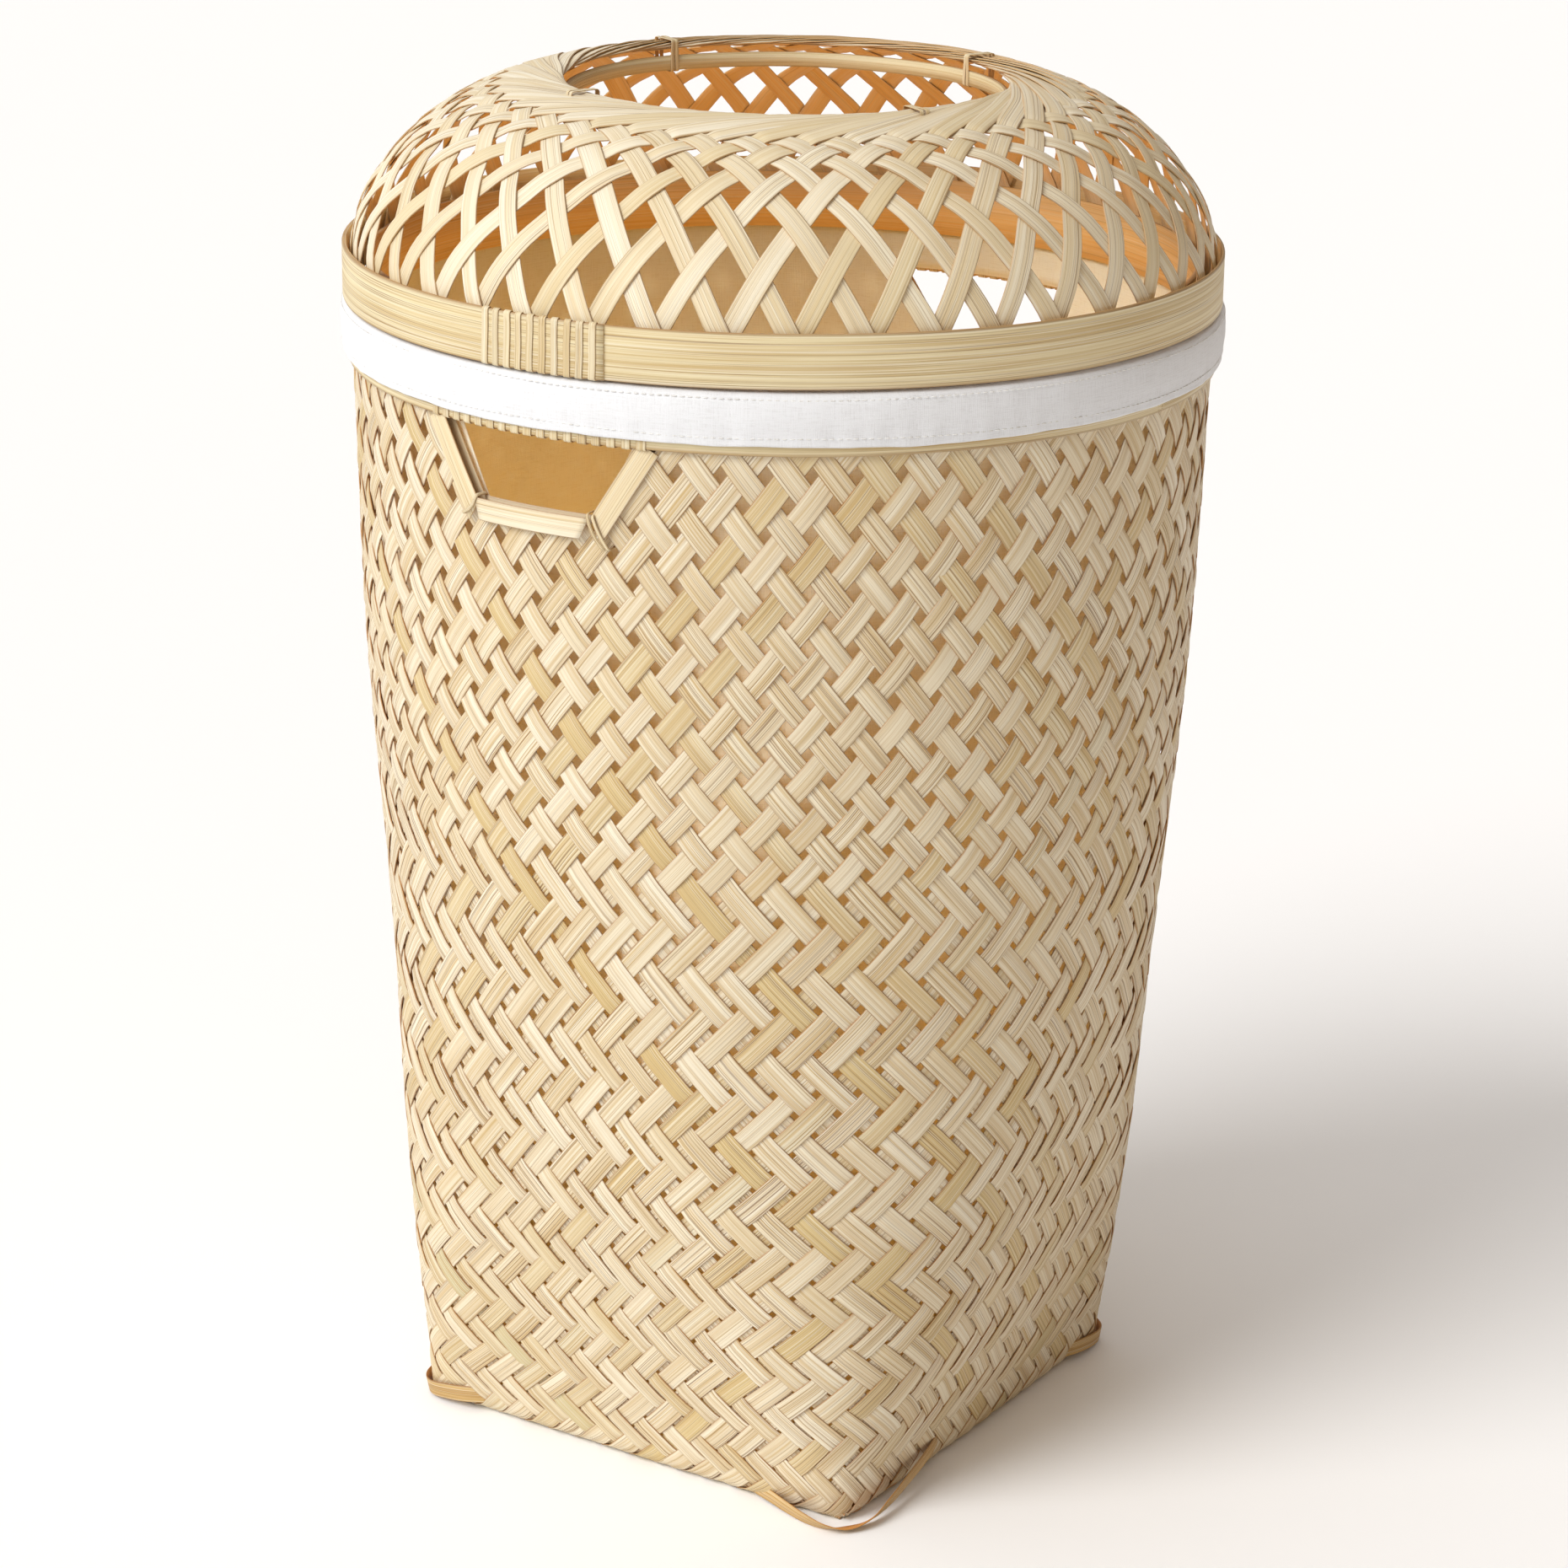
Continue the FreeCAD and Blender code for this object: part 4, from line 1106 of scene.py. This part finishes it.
def make_corner_loops():
    corners = (
        ("front_right", 1, -1, SLACK_LOOP, 6.6), ("front_left", -1, -1, TIGHT_LOOP, 8.4),
        ("back_right", 1, 1, TIGHT_LOOP, 7.4), ("back_left", -1, 1, SLACK_LOOP, 6.8),
    )
    for index, (name, right, back, line, width) in enumerate(corners):
        line = spline(line)
        points = line[:, :3] * MM * (right, back, 1)
        wide = line[:, 3:] * (right, back, 1)
        tangent = unit(np.gradient(points, axis=0))
        wide = unit(wide - tangent * (wide * tangent).sum(1)[:, None])
        normal = np.cross(wide, tangent) * (right * back)
        across, through, inner = section(width * MM, LOOP_THICK)
        grid = points[:, None] + wide[:, None] * across[:, None] + normal[:, None] * through[:, None]
        gather = Ribbons()
        gather.add(grid, across / (width * MM / 2), inner, 0.17 + 0.21 * index)
        node = f"{name}_corner_loop"
        gather.build(node + "_strip", loop_look, "basket", "bamboo_lashing", [node])


make_corner_loops()


# ---------------------------------------------------------------- liner

BAG_RADIUS_GAP = 3.2 * MM + 0.3 * MM  # wall thickness and air, then half the cloth
bag_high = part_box("liner_bag")[1]


def grid_mesh(name, points):
    """A mesh of rings of points, closed round each ring."""
    rows, columns = points.shape[:2]
    index = np.arange(rows * columns).reshape(rows, columns)
    index = np.hstack([index, index[:, :1]])
    quads = np.stack([index[:-1, :-1], index[:-1, 1:], index[1:, 1:], index[1:, :-1]], -1).reshape(-1, 4)
    mesh = bpy.data.meshes.new(name)
    mesh.from_pydata(points.reshape(-1, 3).tolist(), [], quads.tolist())
    mesh.update()
    mesh.polygons.foreach_set("use_smooth", [True] * len(mesh.polygons))
    return mesh


def solidify(piece, thick):
    modifier = piece.modifiers.new("cloth", "SOLIDIFY")
    modifier.thickness = thick
    modifier.offset = 0


BAG_COLUMNS = 256
BAG_LOBES = (5, 9, 14, 23)
BAG_SLACK, BAG_FOLD = 9 * MM, 2.4 * MM
MOUTH_INSET = 200.6 * MM - 194.4 * MM
# Where the bag lies against the wall: strips round, and half width of the spot
FRONT_SPOT, LEFT_SPOT = (12.6, 2.6), (60.0, 2.0)
CORNER_ROOM = 5.0 * MM
MOUTH_FROM, MOUTH_BLEND = 0.46, 0.045  # the bag widens to its mouth over this height
RIM_FROM, RIM_BLEND = 0.51, 0.014  # and reaches the rim's own radius over this one
FLOOR_SHARES = (0.985, 0.95, 0.88, 0.8, 0.7, 0.58, 0.46, 0.34, 0.22, 0.1, 0.02)


def bag_depth(u, z, point, waves):
    """How far inside the wall the bag hangs at one height."""
    fold = 0
    for j, lobes in enumerate(BAG_LOBES):
        sweep = 2.2 * math.sin(z * 9 + waves[j + 4])
        fold = fold + np.sin(lobes * (u / AROUND * TURN) + waves[j] + sweep) / (1 + j * 0.6)
    slack = np.sin(np.clip((z - 0.01) / 0.5, 0, 1) * math.pi) ** 0.6
    near = np.exp(-(((u - FRONT_SPOT[0] + 6 * (0.45 - z)) / FRONT_SPOT[1]) ** 2))
    near = near + 0.8 * np.exp(-(((u - LEFT_SPOT[0]) / LEFT_SPOT[1]) ** 2))
    away = np.maximum(0, 1 - near) * BAG_SLACK
    depth = np.maximum(BAG_RADIUS_GAP + (away + fold * BAG_FOLD) * slack, BAG_RADIUS_GAP)
    blend = np.clip((z - MOUTH_FROM) / MOUTH_BLEND, 0, 1)
    depth = depth + (np.maximum(MOUTH_INSET, depth) - depth) * blend
    if z > RIM_FROM:
        depth = depth + (MOUTH_INSET - depth) * min(1, (z - RIM_FROM) / RIM_BLEND)
    # room for the corner loops where they come through the plait
    corner = np.clip((np.abs(point[:, 0] * point[:, 1]) / 0.0154 - 0.25) / 0.3, 0, 1)
    return depth + CORNER_ROOM * corner * np.clip((0.046 - z) / 0.016, 0, 1)


def make_bag():
    u = np.arange(BAG_COLUMNS) / BAG_COLUMNS * AROUND
    waves = rng(77).uniform(0, TURN, 12)
    rings = []
    for z in np.r_[np.linspace(4 * MM, 0.47, 66), np.linspace(0.475, bag_high.z - MM, 16)]:
        point, normal = wall_sharp(u, np.full(BAG_COLUMNS, z))
        rings.append(point - normal * bag_depth(u, z, point, waves)[:, None])
    floor = []
    for share in FLOOR_SHARES:
        ring = rings[0].copy()
        ring[:, :2] *= share
        x, y = ring[:, 0] * 42, ring[:, 1] * 42
        ripple = np.sin(x + 2 * np.sin(y * 0.7 + waves[1]))
        ripple = ripple + np.sin(y * 1.3 + 1.6 * np.sin(x * 0.9 + waves[2]))
        ring[:, 2] = 3.6 * MM + (2 + ripple) * 1.3 * MM * min(1.0, (1 - share) * 5)
        floor.append(ring)
    mesh = grid_mesh("bag", np.array(floor[::-1] + rings))
    piece = place("bag_cloth", mesh, bag_look_painted_warm, "liner", "cotton", ["liner_bag"])
    cut_openings(mesh, *BAG_CUT)
    solidify(piece, 0.6 * MM)
    return piece


def smooth_line(points):
    """A rounded line through the middle of a few points."""
    points = np.array(points, float)
    for _ in range(3):
        a = points[:-1] * 0.75 + points[1:] * 0.25
        b = points[:-1] * 0.25 + points[1:] * 0.75
        points = np.vstack([points[:1], np.stack([a, b], 1).reshape(-1, 2), points[-1:]])
    return points


# Section of the cuff from inside the rim, over the fold and down to its turned hem: radius and height in mm
CUFF_LINE = [
    (194.4, 546.0), (194.3, 550.5), (195.0, 552.9), (198.5, 553.1), (203.4, 552.8),
    (205.3, 550.2), (205.9, 545.0), (205.9, 539.5), (205.2, 535.2), (204.9, 532.0),
    (204.8, 530.0), (204.3, 529.5), (204.0, 530.4), (204.0, 533.4),
]


CUFF_COLUMNS = 440
CUFF_LOBES, PUCKER_LOBES = (7, 13, 29, 47), (61, 89, 118)
CUFF_WAVE, CUFF_PUCKER = 0.16, 0.09
FOLD_TOP, FOLD_DROP = 552.5 * MM, 23 * MM
HEM_STITCH, HEM_REACH = 534 * MM, 5 * MM


def make_cuff():
    angle = np.arange(CUFF_COLUMNS) / CUFF_COLUMNS * TURN
    waves = rng(31).uniform(0, TURN, 16)
    line = smooth_line(CUFF_LINE) * MM
    rings = []
    for r, z in line:
        outside = 1.0 if r > 203 * MM else max(0.0, (r - 199 * MM) / (4 * MM))
        down = np.clip((FOLD_TOP - z) / FOLD_DROP, 0, 1) * outside
        soft = 0
        for j, lobes in enumerate(CUFF_LOBES):
            soft = soft + np.sin(lobes * angle + waves[j] + 1.5 * down) / (1 + 0.4 * j)
        pucker = 0
        for j, lobes in enumerate(PUCKER_LOBES):
            pucker = pucker + np.sin(lobes * angle + waves[j + 5] + 3 * np.sin(5 * angle + waves[j + 8]))
        near_hem = math.exp(-(((z - HEM_STITCH) / HEM_REACH) ** 2))
        bulge = CUFF_WAVE * soft * (1 - 0.5 * near_hem) + CUFF_PUCKER * pucker * (0.4 + near_hem)
        radius = r + outside * bulge * MM
        height = z + down * 0.25 * MM * soft
        height = height * np.ones(CUFF_COLUMNS)
        rings.append(np.stack([radius * np.cos(angle), radius * np.sin(angle), height], -1))
    mesh = grid_mesh("cuff", np.array(rings))
    piece = place("cuff_cloth", mesh, cuff_look, "liner", "cotton", ["liner_cuff"])
    solidify(piece, 0.5 * MM)
    return piece


STITCH_COUNT = 380
STITCH_LENGTH = 2.6 * MM
STITCH_RISE = 0.2 * MM


def stitches(name, radius, height, seed):
    """A row of small raised stitches round the cuff."""
    waves = rng(seed).uniform(0, TURN, 4)
    gather = Ribbons()
    ring = np.radians(np.arange(0, 360, 60))
    t = np.linspace(-1, 1, 6)
    bow = np.sqrt(np.maximum(0, 1 - t**2))
    size = 0.05 * MM + STITCH_RISE * bow
    up = np.array([0, 0, 1.0])
    for i in range(STITCH_COUNT):
        angle = i / STITCH_COUNT * TURN
        soft = 0.12 * MM * math.sin(7 * angle + waves[0])
        way = np.array([math.cos(angle), math.sin(angle), 0])
        right = np.array([-way[1], way[0], 0])
        middle = way[None] * (radius + soft + STITCH_RISE * bow)[:, None]
        middle = middle + right[None] * (t * STITCH_LENGTH / 2)[:, None]
        middle = middle + np.array([0, 0, height]) + up * (0.2 * MM * math.sin(11 * angle + waves[1]))
        grid = middle[:, None, :] + size[:, None, None] * (
            np.cos(ring)[None, :, None] * way + np.sin(ring)[None, :, None] * up)
        gather.add(grid, np.linspace(-1, 1, 6), np.zeros(6), 0.5)
    return gather.build(name, thread_look, "liner", "cotton")


def make_liner():
    bag = make_bag()
    cuff = make_cuff()
    rows = [
        stitches("cuff_stitches_low", 205.25 * MM, 533.4 * MM, 5),
        stitches("cuff_stitches_top", 205.35 * MM, 550.4 * MM, 6),
    ]
    gather = Ribbons()
    low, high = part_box("cuff_elastic")
    band(gather, 203.75 * MM, 204.25 * MM, low.z, high.z, 0.9, wave_size=0)
    gather.build("elastic_band", elastic_look, "liner", "elastic", ["cuff_elastic"])


make_liner()


# ---------------------------------------------------------------- floor, light, camera


FLOOR_SIZE = 40.0


def make_floor():
    n = Nodes("floor")
    soft = n.noise(n.add("ShaderNodeTexCoord").outputs["Object"], scale=0.7, detail=2.0)
    tone = n.mix(soft, rgb(250, 250, 250), rgb(247, 247, 248))
    look = n.finish(tone, n.steps(soft, (0.3, 0.75), (0.7, 0.8)), Specular_IOR_Level=0.1)
    mesh = bpy.data.meshes.new("floor")
    far = FLOOR_SIZE
    mesh.from_pydata([(-far, -far, 0), (far, -far, 0), (far, far, 0), (-far, far, 0)], [], [(0, 1, 2, 3)])
    mesh.materials.append(look)
    floor = link("floor", mesh)


SUN_POWER, SUN_ANGLE, SUN_COLOUR = 2.25, 34, (1.0, 0.99, 0.975)
SUN_WAY = Vector((0.35, 0.9, -0.8))
LAMP_POWER, LAMP_SIZE, LAMP_COLOUR = 0.46, 0.09, (1.0, 0.56, 0.1)
LAMP_PLACE = (0, 0, 0.3)


def make_lights():
    """A wide soft sun from the front left, and a weak warm lamp inside for the light the bamboo passes on."""
    sun = bpy.data.lights.new("key", "SUN")
    sun.energy = SUN_POWER
    sun.angle = math.radians(SUN_ANGLE)
    sun.color = SUN_COLOUR
    link("key", sun).rotation_euler = SUN_WAY.to_track_quat("-Z", "Y").to_euler()
    lamp = bpy.data.lights.new("within", "POINT")
    lamp.energy = LAMP_POWER
    lamp.color = LAMP_COLOUR
    lamp.shadow_soft_size = LAMP_SIZE
    link("within", lamp).location = LAMP_PLACE


make_floor()
make_lights()

DARK_SIDE = (0.84, 0.54, 0.0)
WHITE_AT, DARK_AT, DARK_COLOUR, WORLD_POWER = 0.35, 0.9, (0.22, 0.12, 0.03, 1), 0.88


def make_world():
    """A white room that is darker and warmer on the basket's right."""
    world = bpy.data.worlds.new("studio")
    world.use_nodes = True
    tree = world.node_tree
    way = tree.nodes.new("ShaderNodeTexCoord")
    dot = tree.nodes.new("ShaderNodeVectorMath")
    dot.operation = "DOT_PRODUCT"
    dot.inputs[1].default_value = DARK_SIDE
    ramp = tree.nodes.new("ShaderNodeValToRGB")
    tree.links.new(way.outputs["Generated"], dot.inputs[0])
    spread = tree.nodes.new("ShaderNodeMapRange")
    spread.inputs["From Min"].default_value = -1.0
    tree.links.new(dot.outputs["Value"], spread.inputs["Value"])
    tree.links.new(spread.outputs[0], ramp.inputs[0])
    white, dark = ramp.color_ramp.elements
    dark.position, dark.color = DARK_AT, DARK_COLOUR
    white.position, white.color = WHITE_AT, (1, 1, 1, 1)
    tree.links.new(ramp.outputs[0], tree.nodes["Background"].inputs[0])
    tree.nodes["Background"].inputs[1].default_value = WORLD_POWER
    bpy.context.scene.world = world


make_world()
bpy.context.scene.view_settings.view_transform = "Standard"


# The camera fitted to the photo: degrees round, down and over, then metres away, aside and up
CAMERA_TURNS = (32.68, 18.597, 0.8175)
CAMERA_PLACE = (2.0421, 0.00358, 0.9972)
CAMERA_LENS = 102.14


def make_camera():
    swing, pitch, roll = (math.radians(angle) for angle in CAMERA_TURNS)
    distance, aside, height = CAMERA_PLACE
    right = Vector((math.cos(swing), math.sin(swing), 0))
    back = Vector((math.sin(swing), -math.cos(swing), 0))
    where = back * distance + right * aside + Vector((0, 0, height))
    look = -back * math.cos(pitch) - Vector((0, 0, math.sin(pitch)))
    up = right.cross(look)
    tilted_right = right * math.cos(roll) + up * math.sin(roll)
    tilted_up = up * math.cos(roll) - right * math.sin(roll)
    data = bpy.data.cameras.new("camera")
    data.lens = CAMERA_LENS
    data.sensor_width = 36
    camera = link("camera", data)
    turn = Matrix((tilted_right, tilted_up, -look)).transposed()
    camera.matrix_world = Matrix.Translation(where) @ turn.to_4x4()
    bpy.context.scene.camera = camera


make_camera()
